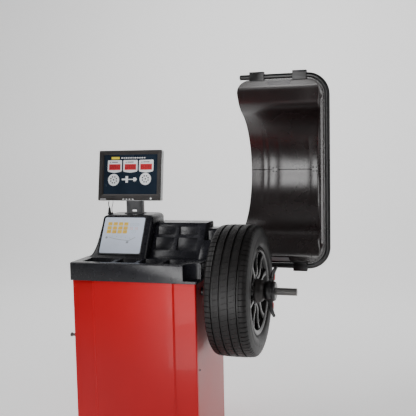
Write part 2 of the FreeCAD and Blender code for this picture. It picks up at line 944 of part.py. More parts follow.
def make_spindle():
    radius, end = S.shaft_radius, S.shaft_end
    shoulder_left = S.housing_left + S.bearing_width + 4
    shoulder_right = S.housing_right - S.bearing_width - 6
    groove = S.nut_end + 1
    keep(
        turned(
            "spindle_shaft",
            [
                (S.shaft_left, 0),
                (S.shaft_left, radius - 3),
                (S.housing_left, radius - 3),
                (S.housing_left, radius),
                (shoulder_left, radius),
                (shoulder_left, radius + 4),
                (shoulder_right, radius + 4),
                (shoulder_right, radius),
                (groove, radius),
                (groove, radius - 1),
                (groove + 2, radius - 1),
                (groove + 2, radius),
                (end - 2, radius),
                (end, radius - 2),
                (end, 0),
            ],
        )
    )
    hub, face, disc = S.housing_right + 2, S.flange_face, S.flange_radius
    keep(
        turned(
            "wheel_flange",
            [
                (hub, radius),
                (hub, 55),
                (hub + 6, 60),
                (face - 25, 60),
                (face - 25, disc - 4),
                (face - 21, disc),
                (face - 2, disc),
                (face, disc - 2),
                (face, 45),
                (face - 43, 45),
                (face - 43, radius),
            ],
        )
    )
    keep(
        turned(
            "centring_cone",
            [
                (face - 15, radius),
                (face - 15, 38),
                (face - 11, 38),
                (face + 17, 22),
                (face + 17, radius),
            ],
        )
    )
    coils, half_wire, coil_radius = 4, 1.9, 30
    start, length = S.flange_face.value - 40, 22
    helix = Part.makeHelix(length / coils, length, coil_radius)
    helix.Placement = FreeCAD.Placement(Vector(start, 0, S.spindle_z.value), TURNS["X"])
    path = Part.Wire(helix.Edges)
    first = path.Edges[0]
    foot, along = first.valueAt(first.FirstParameter), first.tangentAt(first.FirstParameter)
    radial = (foot - helix.Placement.Base).normalize()
    across = along.cross(radial).normalize()
    corners = [
        foot + radial * a * half_wire + across * b * half_wire
        for a, b in ((-1, -1), (1, -1), (1, 1), (-1, 1))
    ]
    spring = path.makePipeShell([Part.makePolygon(corners + corners[:1])], True, True)
    keep(made("cone_spring", spring))
    keep(
        turned(
            "encoder_disc",
            [(42, radius - 3), (42, 60), (44, 60), (44, radius - 3)],
        )
    )
    keep(
        cut(
            "encoder_reader",
            fuse(
                "reader_solid",
                box("reader_fork", (37, 50), (-12, 12), (720, 742)),
                box("reader_post", (50, 57), (-12, 12), (702, 742)),
            ),
            box("reader_slot", (40.5, 45.5), (-20, 20), (728, 760)),
        )
    )


def pulley_outline(bore, radius):
    left, right = S.belt_left, S.belt_right
    return [
        (left - 5, bore),
        (left - 5, radius + 3),
        (left - 1, radius + 3),
        (left - 1, radius),
        (right + 1, radius),
        (right + 1, radius + 3),
        (right + 5, radius + 3),
        (right + 5, bore),
    ]


def make_drive():
    keep(turned("spindle_pulley", pulley_outline(S.shaft_radius - 3, S.spindle_pulley)))
    motor_z = S.motor_z
    shaft = 9
    bore = shaft + S.running_gap
    case = turned(
        "motor_case",
        [
            (-185, bore),
            (-185, S.motor_radius - 4),
            (-181, S.motor_radius),
            (-19, S.motor_radius),
            (-15, S.motor_radius - 4),
            (-15, 25),
            (-6, 25),
            (-6, bore),
            (-45, bore),
            (-45, 40),
            (-155, 40),
            (-155, bore),
        ],
        z=motor_z,
    )
    feet = [
        box(f"motor_foot_{i}", (x, x + 30), (-50, 50), (motor_z - 72, motor_z - 52))
        for i, x in enumerate((-165, -65))
    ]
    keep(fuse("motor_body", case, *feet))
    keep(
        turned(
            "motor_rotor",
            [
                (-183, 0),
                (-183, shaft),
                (-150, shaft),
                (-150, 38),
                (-50, 38),
                (-50, shaft),
                (36, shaft),
                (36, 0),
            ],
            z=motor_z,
        )
    )
    keep(turned("motor_pulley", pulley_outline(shaft, S.motor_pulley), z=motor_z))
    keep(made("drive_belt", make_belt()))


def make_belt():
    """A flat loop round both pulleys, a running gap clear of them."""
    gap = 0.1
    upper, lower = S.spindle_z.value, S.motor_z.value
    left, width = S.belt_left.value, S.belt_right.value - S.belt_left.value

    def loop(extra):
        big = S.spindle_pulley.value + extra
        small = S.motor_pulley.value + extra
        lean = math.asin((big - small) / (upper - lower))
        ends = [
            (big * math.cos(lean), upper - big * math.sin(lean)),
            (small * math.cos(lean), lower - small * math.sin(lean)),
        ]
        top = Vector(left, 0, upper + big)
        bottom = Vector(left, 0, lower - small)
        corners = [Vector(left, side * y, z) for side in (1, -1) for y, z in ends]
        edges = [
            Part.LineSegment(corners[0], corners[1]).toShape(),
            Part.Arc(corners[1], bottom, corners[3]).toShape(),
            Part.LineSegment(corners[3], corners[2]).toShape(),
            Part.Arc(corners[2], top, corners[0]).toShape(),
        ]
        return Part.Face(Part.Wire(edges)).extrude(Vector(width, 0, 0))

    return loop(gap + S.belt_thick.value).cut(loop(gap))


# ---------------------------------------------------------------- wheel and quick nut


def make_wheel():
    middle, half, outer = S.wheel_middle, S.tyre_half, S.tyre_radius
    grooves = []
    for offset in (-58, -20, 20, 58):
        crown = outer - abs(offset) * 0.02
        grooves += [
            (middle + offset - 5, crown),
            (middle + offset - 4, crown - 7.5),
            (middle + offset + 4, crown - 7.5),
            (middle + offset + 5, crown),
        ]
    bead = S.bead_radius + 1.6
    left_wall = [
        (middle - 83, bead),
        (middle - 86, bead + 16),
        (middle - 96, bead + 28),
        (middle - half, bead + 57),
        (middle - half + 3, bead + 86),
        (middle - 93, outer - 9),
        (middle - 80, outer - 3),
    ]
    right_wall = [(2 * middle - x, r) for x, r in reversed(left_wall)]
    right_inside = [
        (middle + 72, bead),
        (middle + 76, bead + 18),
        (middle + 94, bead + 57),
        (middle + 91, bead + 84),
        (middle + 80, outer - 15),
    ]
    left_inside = [(2 * middle - x, r) for x, r in reversed(right_inside)]
    keep(turned("tyre", left_wall + grooves + right_wall + right_inside + left_inside))

    seat = S.bead_radius
    barrel = turned(
        "rim_barrel",
        [
            (middle - 95, seat + 9),
            (middle - 94, seat + 17),
            (middle - 89, seat + 17),
            (middle - 85, seat + 1.5),
            (middle - 5, seat),
            (middle + 7, seat - 18),
            (middle + 57, seat - 18),
            (middle + 67, seat),
            (middle + 85, seat + 1.5),
            (middle + 89, seat + 17),
            (middle + 94, seat + 17),
            (middle + 95, seat + 9),
            (middle + 90, seat - 6),
            (middle + 74, seat - 8),
            (middle + 63, seat - 25),
            (middle + 1, seat - 25),
            (middle - 9, seat - 7),
            (middle - 89, seat - 6),
        ],
    )
    hub = turned(
        "rim_hub",
        [
            (S.flange_face, S.hub_bore),
            (S.flange_face, 76),
            (S.hub_face - 12, 80),
            (S.hub_face, 72),
            (S.hub_face, S.hub_bore),
        ],
    )
    spokes = []
    count = int(S.spoke_count.value)
    for i in range(count):
        spoke = doc.addObject("Part::Wedge", f"spoke_{i}")
        spoke.Xmin, spoke.Xmax = -15, 15
        spoke.X2min, spoke.X2max = -10, 10
        spoke.Ymin, spoke.Ymax = 70, 182
        spoke.Zmin, spoke.Zmax = 0, 22
        spoke.Z2min, spoke.Z2max = 0, 20
        turn = Rotation(Vector(1, 0, 0), 360 / count * i)
        upright = Rotation(Vector(0, 1, 0), Vector(0, 0, 1), Vector(1, 0, 0), "ZXY")
        place(spoke, S.hub_face - 13, 0, S.spindle_z, turn.multiply(upright))
        spokes.append(spoke)
    bolt_holes = []
    for i in range(5):
        angle = math.radians(90 + 72 * i)
        bolt_holes.append(
            rod(
                f"lug_hole_{i}",
                "X",
                7,
                (S.flange_face - 5, S.hub_face + 10),
                54 * math.cos(angle),
                S.spindle_z + 54 * math.sin(angle),
            )
        )
    keep(barrel)
    keep(cut("rim_centre", fuse("rim_centre_solid", hub, *spokes), barrel, *bolt_holes))
    angle = math.radians(90 + 180 / count)
    keep(
        rod(
            "valve_stem",
            "X",
            4,
            (middle + 62, middle + 96),
            172 * math.cos(angle),
            S.spindle_z + 172 * math.sin(angle),
        )
    )


def handle_turn(half_turn):
    return Rotation(Vector(1, 0, 0), -S.handle_turn.value + half_turn)


def make_quick_nut():
    """Hub with two flared handles, a pressure cup and two red release triggers."""
    start, end, radius = S.nut_rest, S.nut_end, S.nut_radius
    bore = S.shaft_radius + S.running_gap
    hub = turned(
        "nut_hub",
        [
            (start, bore),
            (start, radius - 7),
            (start + 12, radius),
            (end - 8, radius),
            (end, radius - 8),
            (end, bore),
        ],
    )
    reach = S.handle_reach
    parts, rooms = [hub], []
    for i, half_turn in enumerate((0, 180)):
        arm = prism(
            f"nut_arm_{i}",
            "XZ",
            [
                (start + 14, radius - 7),
                (end - 14, radius - 7),
                (end - 10, reach - 40),
                (end + 3, reach - 10),
                (end, reach - 2),
                (end - 8, reach),
                (end - 14, reach - 6),
                (start + 22, reach - 44),
            ],
            (-13, 13),
        )
        shift = handle_turn(half_turn).multVec(Vector(0, -13, 0))
        place(arm, 0, shift.y, S.spindle_z + shift.z, handle_turn(half_turn))
        parts.append(arm)
        room = box(f"trigger_room_{i}", (end - 22, end + 20), (-9.4, 9.4), (51.5, 80.5))
        rooms.append(turned_box(room, (end - 22), -9.4, 51.5, half_turn))
    keep(cut("nut_body", fuse("nut_solid", *parts), *rooms))
    for i, half_turn in enumerate((0, 180)):
        name = ("release_trigger_a", "release_trigger_b")[i]
        pad = box(name, (end - 17, end - 8), (-9, 9), (52, 80))
        keep(turned_box(pad, end - 17, -9, 52, half_turn))
    keep(
        turned(
            "nut_cup",
            [
                (S.hub_face + 0.3, 47),
                (S.hub_face + 0.3, 58),
                (S.hub_face + 30, 50),
                (start, 38),
                (start, 20),
                (start - 9, 20),
                (start - 14, 38),
                (S.hub_face + 14, 44),
            ],
        )
    )


def turned_box(block, x, y, z, half_turn):
    """Carries a block, given relative to the spindle axis, round that axis."""
    turn = handle_turn(half_turn)
    corner = turn.multVec(Vector(0, float(y), float(z)))
    return place(block, x, corner.y, S.spindle_z + corner.z, turn)


# ---------------------------------------------------------------- wheel guard


def hood_outline(y, right, corner):
    """A closed outline in the plane at y, with its two right corners rounded."""
    left = S.hood_left.value
    low = S.hood_z.value + S.hood_rim_gap.value
    high = S.hood_z.value + S.hood_span.value - S.hood_rim_gap.value
    slant = corner * (1 - math.sqrt(0.5))
    points = {
        "low_left": Vector(left, y, low),
        "low_in": Vector(right - corner, y, low),
        "low_mid": Vector(right - slant, y, low + slant),
        "low_out": Vector(right, y, low + corner),
        "high_out": Vector(right, y, high - corner),
        "high_mid": Vector(right - slant, y, high - slant),
        "high_in": Vector(right - corner, y, high),
        "high_left": Vector(left, y, high),
    }
    return Part.Wire(
        [
            Part.LineSegment(points["low_left"], points["low_in"]).toShape(),
            Part.Arc(points["low_in"], points["low_mid"], points["low_out"]).toShape(),
            Part.LineSegment(points["low_out"], points["high_out"]).toShape(),
            Part.Arc(points["high_out"], points["high_mid"], points["high_in"]).toShape(),
            Part.LineSegment(points["high_in"], points["high_left"]).toShape(),
            Part.LineSegment(points["high_left"], points["low_left"]).toShape(),
        ]
    )


def hood_bowl(inset):
    """The half-round bowl of the guard, with a drafted right end, as a solid."""
    y = S.hood_y.value
    deep = S.hood_arc.value + 20
    right = S.hood_wall_right.value - inset
    start = y if inset == 0 else y - 1
    front = hood_outline(start, right, S.hood_corner.value)
    back = hood_outline(y + deep, right - S.hood_draft.value, S.hood_corner.value)
    block = Part.makeLoft([front, back], True, True)
    if inset:
        opening = Part.makeBox(
            60,
            deep + 1,
            2 * S.hood_arc.value,
            Vector(S.hood_left.value - 30, start, hood_middle() - S.hood_arc.value),
        )
        block = block.fuse(opening)
    roll = Part.makeCylinder(
        S.hood_arc.value - inset,
        S.hood_span.value,
        Vector(S.hood_left.value - 100, y + S.hood_arc_back.value, hood_middle()),
        Vector(1, 0, 0),
    )
    return block.common(roll)


def hood_middle():
    return S.hood_z.value + S.hood_span.value / 2


def make_hood_shells():
    """Two halves that meet on a level seam behind the wheel."""
    y, wall = S.hood_y.value, S.hood_wall.value
    rim = Part.Face(hood_outline(y, S.hood_rim_right.value, S.hood_corner.value + 10))
    rim = rim.extrude(Vector(0, wall, 0))
    corner = 62
    left = S.hood_left.value
    low = S.hood_z.value + S.hood_rim_gap.value
    high = S.hood_z.value + S.hood_span.value - S.hood_rim_gap.value
    for z, side in ((low, 1), (high, -1)):
        foot = Vector(left - 1, y - wall, min(z, z + side * corner))
        block = Part.makeBox(corner, 3 * wall, corner, foot)
        centre = Vector(left + corner, y - wall, z + side * corner)
        disc = Part.makeCylinder(corner, 3 * wall, centre, Vector(0, 1, 0))
        rim = rim.cut(block.cut(disc))
    shell = rim.fuse(hood_bowl(0)).cut(hood_bowl(wall))
    seam = hood_middle()
    reach = S.hood_span.value
    lower_half = Part.makeBox(reach, reach, reach, Vector(left - 50, y - 50, seam - reach))
    keep(made("hood_upper_shell", shell.cut(lower_half).removeSplitter()))
    keep(made("hood_lower_shell", shell.common(lower_half).removeSplitter()))


def hood_path(wire_start):
    """The centre line of the guard's tube: pivot run, right upright and top run."""
    y, low = S.hood_y.value, S.hood_z.value
    high, right = low + S.hood_span.value, S.hood_right.value
    bend = S.tube_bend.value
    inner = bend * (1 - math.sqrt(0.5))
    start, low_in = Vector(wire_start, y, low), Vector(right - bend, y, low)
    low_out, high_out = Vector(right, y, low + bend), Vector(right, y, high - bend)
    high_in, finish = Vector(right - bend, y, high), Vector(S.hood_end.value, y, high)
    return Part.Wire(
        [
            Part.LineSegment(start, low_in).toShape(),
            Part.Arc(low_in, Vector(right - inner, y, low + inner), low_out).toShape(),
            Part.LineSegment(low_out, high_out).toShape(),
            Part.Arc(high_out, Vector(right - inner, y, high - inner), high_in).toShape(),
            Part.LineSegment(high_in, finish).toShape(),
        ]
    )


def make_hood_frame():
    start = S.tube_start.value
    y, z, radius = S.hood_y.value, S.hood_z.value, S.tube_radius.value
    solids = []
    for r in (radius, radius - S.tube_wall.value):
        circle = Part.Wire([Part.makeCircle(r, Vector(start, y, z), Vector(1, 0, 0))])
        solids.append(hood_path(start).makePipeShell([circle], True, False))
    keep(made("hood_tube", solids[0].cut(solids[1])))

    top = S.hood_z + S.hood_span
    bore_radius = S.tube_radius - S.tube_wall
    plug = rod("plug_stem", "X", bore_radius, (S.hood_end, S.hood_end + 18), S.hood_y, top)
    cap = rod("plug_cap", "X", S.tube_radius, (S.hood_end - 5, S.hood_end), S.hood_y, top)
    keep(fuse("hood_end_plug", plug, cap))

    clips = []
    for i, (a, b, z, grow) in enumerate(
        ((400, 477, top, 1), (630, 704, top, 1), (625, 700, S.hood_z, -1))
    ):
        outer = z + 26 * grow
        inner = z - S.hood_rim_gap * grow
        limits = (inner, outer) if grow > 0 else (outer, inner)
        block = box(f"clip_block_{i}", (a, b), (S.hood_y - 17, S.hood_y + 19), limits)
        bore = rod(f"clip_bore_{i}", "X", S.tube_radius, (a - 5, b + 5), S.hood_y, z)
        clips.append(cut(f"clip_{i}", block, bore))
    keep(group("hood_clips", *clips))

    y = S.hood_y
    edge = S.hood_rim_gap
    high_plate = prism(
        "edge_plate_high",
        "XZ",
        [
            (490, top - edge - 3),
            (500, top - edge - 24),
            (612, top - edge - 24),
            (622, top - edge - 3),
        ],
        (y - 3, y),
    )
    low_plate = prism(
        "edge_plate_low",
        "XZ",
        [
            (503, S.hood_z + edge + 24),
            (597, S.hood_z + edge + 24),
            (607, S.hood_z + edge + 3),
            (503, S.hood_z + edge + 3),
        ],
        (y - 3, y),
    )
    keep(group("hood_edge_plates", high_plate, low_plate))

    middle = S.hood_z + S.hood_span / 2
    inner_face = S.hood_y + S.hood_arc_back + S.hood_arc - S.hood_wall
    plates = []
    for i, x in enumerate((461, 695)):
        plate_y, head_y = (inner_face - 2.5, inner_face - 0.4), (inner_face - 4.5, inner_face - 2.5)
        plate = box(f"joint_plate_{i}", (x - 16, x + 16), plate_y, (middle - 15, middle + 15))
        heads = [
            rod(f"joint_screw_{i}{j}{k}", "Y", 3.5, head_y, x + dx, middle + dz)
            for j, dx in enumerate((-9, 9))
            for k, dz in enumerate((-9, 9))
        ]
        plates.append(fuse(f"joint_{i}", plate, *heads))
    keep(group("hood_joint_plates", *plates))

    cam_ring = rod("cam_ring", "X", 24, (252, 270), S.hood_y, S.hood_z)
    lobe = box("cam_lobe", (252, 270), (S.hood_y, S.hood_y + 34), (S.hood_z - 12, S.hood_z + 12))
    cam_bore = rod("cam_bore", "X", S.tube_radius, (240, 290), S.hood_y, S.hood_z)
    keep(cut("hood_cam", fuse("cam_solid", cam_ring, lobe), cam_bore))


def make_hood_bracket():
    rear, y, z = S.cab_rear, S.hood_y, S.hood_z
    pieces = [box("bracket_plate", (214, 302), (rear, rear + 6), (z - 95, z + 30))]
    for i, x in enumerate((228, 288)):
        pieces.append(
            prism(
                f"bracket_ear_{i}",
                "YZ",
                [(rear + 6, z - 85), (y - 10, z - 27), (y - 10, z + 27), (rear + 6, z + 30)],
                (x, x + 12),
            )
        )
        pieces.append(rod(f"bracket_eye_{i}", "X", 29, (x, x + 12), y, z))
    pieces.append(box("bracket_web", (228, 300), (rear + 6, y - 30), (z - 30, z - 22)))
    bore = rod("bracket_bore", "X", S.tube_radius + S.running_gap, (200, 310), y, z)
    keep(cut("hood_bracket", fuse("bracket_solid", *pieces), bore))
    keep(box("hood_switch", (250, 272), (y - 62, y - 28), (z - 22, z + 6)))


# ---------------------------------------------------------------- distance gauge


def make_gauge():
    half, y, z, radius = S.cab_half, S.gauge_y, S.gauge_z, S.gauge_radius
    keep(
        turned(
            "gauge_bush",
            [
                (half - 95, radius + S.running_gap),
                (half - 95, 12),
                (half, 12),
                (half, 20),
                (half + 12, 18),
                (half + 12, radius + S.running_gap),
            ],
            y=y,
            z=z,
        )
    )
    keep(
        turned(
            "gauge_rod",
            [
                (90, 0),
                (90, radius),
                (S.gauge_end - 14, radius),
                (S.gauge_end - 14, radius - 2),
                (S.gauge_end - 3, radius - 2),
                (S.gauge_end - 3, radius + 2),
                (S.gauge_end, radius + 2),
                (S.gauge_end, 0),
            ],
            y=y,
            z=z,
        )
    )
    eye = rod("arm_eye", "X", 12, (S.gauge_end - 12.5, S.gauge_end - 3.5), y, z)
    width = (S.gauge_end - 12.5, S.gauge_end - 3.5)
    finger = box("arm_finger", width, (y - S.gauge_finger, y), (z - 6, z + 6))
    through = (S.gauge_end - 20, S.gauge_end + 5)
    hole = rod("arm_hole", "X", radius - 2 + S.running_gap, through, y, z)
    keep(cut("gauge_arm", fuse("arm_solid", eye, finger), hole))


# ---------------------------------------------------------------- build and export


def check_and_export():
    doc.recompute()
    broken = [o.Name for o in doc.Objects if {"Invalid", "Error"} & set(o.State)]
    if broken:
        raise SystemExit(f"failed objects: {broken}")
    for thing in nodes:
        shape = thing.Shape
        if shape.isNull() or not shape.isValid() or not shape.Solids:
            raise SystemExit(f"bad shape: {thing.Label}")
    for old in os.listdir("parts"):
        os.remove(os.path.join("parts", old))
    for thing in nodes:
        thing.Shape.exportStep(f"parts/{thing.Label}.step")
    print(f"{len(nodes)} sub-parts written")


for maker in (
    make_floor_plate,
    make_column_frame,
    make_front_panel,
    make_side_panels,
    make_rear_panel,
    make_panel_screws,
    make_storage_pegs,
    make_power_socket,
    make_circuit_box,
    make_weight_tray,
    make_pocket_bank,
    make_console,
    make_monitor_post,
    make_monitor,
    make_monitor_cables,
    make_spindle_supports,
    make_spindle,
    make_drive,
    make_wheel,
    make_quick_nut,
    make_hood_shells,
    make_hood_frame,
    make_hood_bracket,
    make_gauge,
):
    maker()
check_and_export()
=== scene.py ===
import json
import math

import bmesh
import bpy
from mathutils import Matrix, Vector


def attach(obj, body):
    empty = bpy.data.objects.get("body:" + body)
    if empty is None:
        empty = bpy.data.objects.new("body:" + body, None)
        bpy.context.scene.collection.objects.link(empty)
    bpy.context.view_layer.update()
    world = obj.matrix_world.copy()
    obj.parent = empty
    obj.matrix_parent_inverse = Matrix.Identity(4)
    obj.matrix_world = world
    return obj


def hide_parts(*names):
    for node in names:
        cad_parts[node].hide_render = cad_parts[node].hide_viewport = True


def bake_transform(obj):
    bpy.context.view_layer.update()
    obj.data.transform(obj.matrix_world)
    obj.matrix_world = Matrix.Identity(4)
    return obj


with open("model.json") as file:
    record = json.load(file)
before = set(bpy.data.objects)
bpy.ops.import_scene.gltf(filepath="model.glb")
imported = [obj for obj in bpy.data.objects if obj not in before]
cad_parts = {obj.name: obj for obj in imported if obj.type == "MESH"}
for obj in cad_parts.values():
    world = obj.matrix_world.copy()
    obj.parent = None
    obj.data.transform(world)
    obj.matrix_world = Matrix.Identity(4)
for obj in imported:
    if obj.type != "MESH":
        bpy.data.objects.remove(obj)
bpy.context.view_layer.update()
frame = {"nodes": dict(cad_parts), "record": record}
nodes = frame["nodes"]
node_body = {n: b for b, ns in frame["record"]["behaviour"]["bodies"].items() for n in ns}

MM = 0.001
SPINDLE_Z = 0.790                # height of the spindle's axis
WHEEL_MID = 0.455                # middle of the tyre and rim along the spindle
HANDLE_TURN = math.radians(-17)  # the nut's handles, from upright


# ------------------------------------------------------------------ materials

def material(name, color, rough=0.4, metal=0.0, coat=0.0, vary=0.12, scale=18.0, bump=0.0,
             bump_scale=300.0, specular=0.5, rough_vary=0.08, stretch=(1, 1, 1), dark=None):
    """A surface whose colour, gloss and relief vary a little over the piece."""
    m = bpy.data.materials.new(name)
    m.use_nodes = True
    tree = m.node_tree
    shader = tree.nodes["Principled BSDF"]
    shader.inputs["Metallic"].default_value = metal
    shader.inputs["Specular IOR Level"].default_value = specular
    shader.inputs["Coat Weight"].default_value = coat
    shader.inputs["Coat Roughness"].default_value = 0.08
    coords = tree.nodes.new("ShaderNodeTexCoord")
    mapping = tree.nodes.new("ShaderNodeMapping")
    mapping.inputs["Scale"].default_value = stretch
    tree.links.new(coords.outputs["Object"], mapping.inputs["Vector"])

    noise = tree.nodes.new("ShaderNodeTexNoise")
    noise.inputs["Scale"].default_value = scale
    noise.inputs["Detail"].default_value = 4.0
    tree.links.new(mapping.outputs["Vector"], noise.inputs["Vector"])
    ramp = tree.nodes.new("ShaderNodeValToRGB")
    low = dark or tuple(c * (1 - vary) for c in color)
    high = tuple(min(1.0, c * (1 + vary)) for c in color)
    ramp.color_ramp.elements[0].color = (*low, 1)
    ramp.color_ramp.elements[1].color = (*high, 1)
    ramp.color_ramp.elements[0].position = 0.3
    ramp.color_ramp.elements[1].position = 0.7
    tree.links.new(noise.outputs["Fac"], ramp.inputs["Fac"])
    tree.links.new(ramp.outputs["Color"], shader.inputs["Base Color"])

    spread = tree.nodes.new("ShaderNodeMapRange")
    spread.inputs["To Min"].default_value = max(0.02, rough - rough_vary)
    spread.inputs["To Max"].default_value = min(1.0, rough + rough_vary)
    tree.links.new(noise.outputs["Fac"], spread.inputs["Value"])
    tree.links.new(spread.outputs["Result"], shader.inputs["Roughness"])

    if bump:
        fine = tree.nodes.new("ShaderNodeTexNoise")
        fine.inputs["Scale"].default_value = bump_scale
        fine.inputs["Detail"].default_value = 3.0
        relief = tree.nodes.new("ShaderNodeBump")
        relief.inputs["Strength"].default_value = bump
        relief.inputs["Distance"].default_value = 0.0006
        tree.links.new(mapping.outputs["Vector"], fine.inputs["Vector"])
        tree.links.new(fine.outputs["Fac"], relief.inputs["Height"])
        tree.links.new(relief.outputs["Normal"], shader.inputs["Normal"])
    return m


MATERIALS = {
    "red_paint": material("red_powder_coat", (0.66, 0.002, 0.008), 0.42, vary=0.05, scale=3,
                          bump=0.12, bump_scale=900, coat=0.06, specular=0.3),
    "black_moulding": material("black_gloss_moulding", (0.012, 0.012, 0.016), 0.27, vary=0.2, bump=0.15,
                               bump_scale=700, specular=0.4),
    "hood_plastic": material("guard_gloss_plastic", (0.013, 0.008, 0.008), 0.27, vary=0.15, scale=6,
                             specular=0.75, rough_vary=0.03),
    "black_steel": material("black_paint", (0.006, 0.0055, 0.006), 0.3, vary=0.3, bump=0.1, specular=0.45),
    "frame_steel": material("primer_grey", (0.16, 0.17, 0.19), 0.6, vary=0.15, bump=0.3),
    "bare_steel": material("ground_steel", (0.2, 0.195, 0.19), 0.36, metal=1.0, vary=0.18, scale=40,
                           stretch=(0.2, 1, 1), bump=0.1),
    "dark_steel": material("oiled_steel", (0.1, 0.1, 0.105), 0.38, metal=1.0, vary=0.3, scale=30),
    "cast_nut": material("black_cast_nut", (0.016, 0.015, 0.016), 0.33, vary=0.35, scale=60, bump=0.35,
                         bump_scale=500, coat=0.15),
    "trigger_red": material("release_red", (0.62, 0.13, 0.12), 0.42, vary=0.15, scale=50),
    "grey_plastic": material("grey_plastic", (0.16, 0.155, 0.16), 0.5, vary=0.12, bump=0.2),
    "silver_plastic": material("silver_plastic", (0.92, 0.93, 0.94), 0.36, vary=0.05, bump=0.15,
                               bump_scale=1500),
    "black_plastic": material("black_textured_plastic", (0.022, 0.018, 0.017), 0.42, vary=0.3, bump=0.3,
                              bump_scale=1200),
    "screen_glass": material("screen_navy", (0.008, 0.017, 0.032), 0.25, vary=0.2, scale=8, specular=0.35),
    "keypad_film": material("keypad_film", (0.74, 0.81, 0.96), 0.42, vary=0.04, scale=12),
    "post_grey": material("post_grey", (0.12, 0.12, 0.125), 0.45, metal=0.2, vary=0.1, scale=25, bump=0.15),
    "cable_black": material("cable_rubber", (0.015, 0.015, 0.016), 0.5, vary=0.2, bump=0.2),
    "belt_rubber": material("belt_rubber", (0.03, 0.03, 0.03), 0.7, vary=0.3, bump=0.3),
    "tyre_rubber": material("tyre_rubber", (0.0065, 0.0055, 0.0055), 0.46, vary=0.3, scale=25, bump=0.35,
                            bump_scale=420, rough_vary=0.08, specular=0.34),
    "rim_alloy": material("rim_dark_gloss", (0.010, 0.009, 0.009), 0.24, vary=0.2, specular=0.5),
    "motor_alloy": material("cast_aluminium", (0.38, 0.39, 0.41), 0.48, metal=0.8, vary=0.15, bump=0.4),
    "bracket_zinc": material("zinc_plate", (0.45, 0.45, 0.43), 0.36, metal=0.9, vary=0.2, scale=60),
    "sensor_brass": material("brass", (0.5, 0.36, 0.16), 0.35, metal=1.0, vary=0.15),
}
WHITE = material("screen_white", (0.86, 0.86, 0.88), 0.4, vary=0.04)
RED_LIGHT = material("display_red", (0.62, 0.01, 0.02), 0.35, vary=0.2, scale=90)
RED_DARK = material("display_red_dim", (0.26, 0.005, 0.01), 0.4, vary=0.2, scale=90)
YELLOW = material("label_yellow", (0.9, 0.72, 0.02), 0.4, vary=0.06)
KEY_YELLOW = material("key_yellow", (0.95, 0.66, 0.06), 0.42, vary=0.1, scale=60, dark=(0.95, 0.5, 0.03))
INK_GREY = material("ink_grey", (0.34, 0.38, 0.44), 0.5, vary=0.2)
INK_BLUE = material("ink_blue", (0.45, 0.58, 0.66), 0.5, vary=0.15)
INK_RED = material("ink_red", (0.8, 0.42, 0.38), 0.5, vary=0.15)
# a darker, browner copy of the red paint for the side panels: painted shade for faces that turn away from
# the light
SHADED_SIDE_RED = material("red_paint_with_painted_side_shade", (0.5, 0.03, 0.022), 0.36, vary=0.08, scale=3, bump=0.12,
                    bump_scale=900, coat=0.2)

slot_of = {p["node"]: p["material_slot"] for p in frame["record"]["subparts"]}
for name, obj in nodes.items():
    obj.data.materials.clear()
    obj.data.materials.append(MATERIALS[slot_of[name]])


# ------------------------------------------------------------------ mesh helpers

def finish_mesh(name, bm, mat, sharp=32):
    """Turns a bmesh into an object, smooth but for edges sharper than an angle in degrees."""
    bmesh.ops.remove_doubles(bm, verts=bm.verts, dist=1e-6)
    bmesh.ops.recalc_face_normals(bm, faces=bm.faces)
    mesh = bpy.data.meshes.new(name)
    bm.to_mesh(mesh)
    bm.free()
    mesh.polygons.foreach_set("use_smooth", [True] * len(mesh.polygons))
    mesh.set_sharp_from_angle(angle=math.radians(sharp))
    mesh.materials.append(mat)
    obj = bpy.data.objects.new(name, mesh)
    bpy.context.scene.collection.objects.link(obj)
    return obj


def piece(name, bm, sharp, body, slot, *replaced, look=None):
    """A piece that rides on a body, in the material of the given slot unless it has a look of its own,
    with the CAD nodes it stands for hidden."""
    obj = finish_mesh(name, bm, look or MATERIALS[slot], sharp)
    if replaced:
        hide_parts(*replaced)
    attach(obj, body)


def skin(bm, rings, closed_path=False):
    """Joins rings of points, each with the same count, into a surface with closed ends."""
    made = [[bm.verts.new(p) for p in ring] for ring in rings]
    count = len(made[0])
    pairs = list(zip(made, made[1:]))
    if closed_path:
        pairs.append((made[-1], made[0]))
    for a, b in pairs:
        for i in range(count):
            j = (i + 1) % count
            bm.faces.new((a[i], a[j], b[j], b[i]))
    if not closed_path:
        bm.faces.new(list(reversed(made[0])))
        bm.faces.new(made[-1])


def lathe(bm, profile, y=0.0, z=SPINDLE_Z, steps=96):
    """Turns (x, radius) points in metres about an axis along X; the profile is closed."""
    rings = []
    for i in range(steps):
        a = 2 * math.pi * i / steps
        rings.append([(x, y + r * math.cos(a), z + r * math.sin(a)) for x, r in profile])
    skin(bm, rings, closed_path=True)


def sweep(bm, path, radius, sides):
    """A round tube along a path, with a steady frame."""
    path = [Vector(p) for p in path]
    tangents = []
    for i in range(len(path)):
        a, b = path[max(i - 1, 0)], path[min(i + 1, len(path) - 1)]
        tangents.append((b - a).normalized())
    side = tangents[0].orthogonal().normalized()
    rings = []
    for p, t in zip(path, tangents):
        side = (side - t * side.dot(t)).normalized()
        other = t.cross(side)
        rings.append([
            p + side * radius * math.cos(2 * math.pi * k / sides)
            + other * radius * math.sin(2 * math.pi * k / sides)
            for k in range(sides)
        ])
    skin(bm, rings)


def round_rect(x0, x1, y0, y1, r, steps=5):
    """Points round a rectangle with rounded corners, as (x, y)."""
    points = []
    r = min(r, abs(x1 - x0) / 2 - 1e-5, abs(y1 - y0) / 2 - 1e-5)
    for cx, cy, start in ((x1 - r, y1 - r, 0), (x0 + r, y1 - r, 90),
                          (x0 + r, y0 + r, 180), (x1 - r, y0 + r, 270)):
        for k in range(steps + 1):
            a = math.radians(start + 90 * k / steps)
            points.append((cx + r * math.cos(a), cy + r * math.sin(a)))
    return points


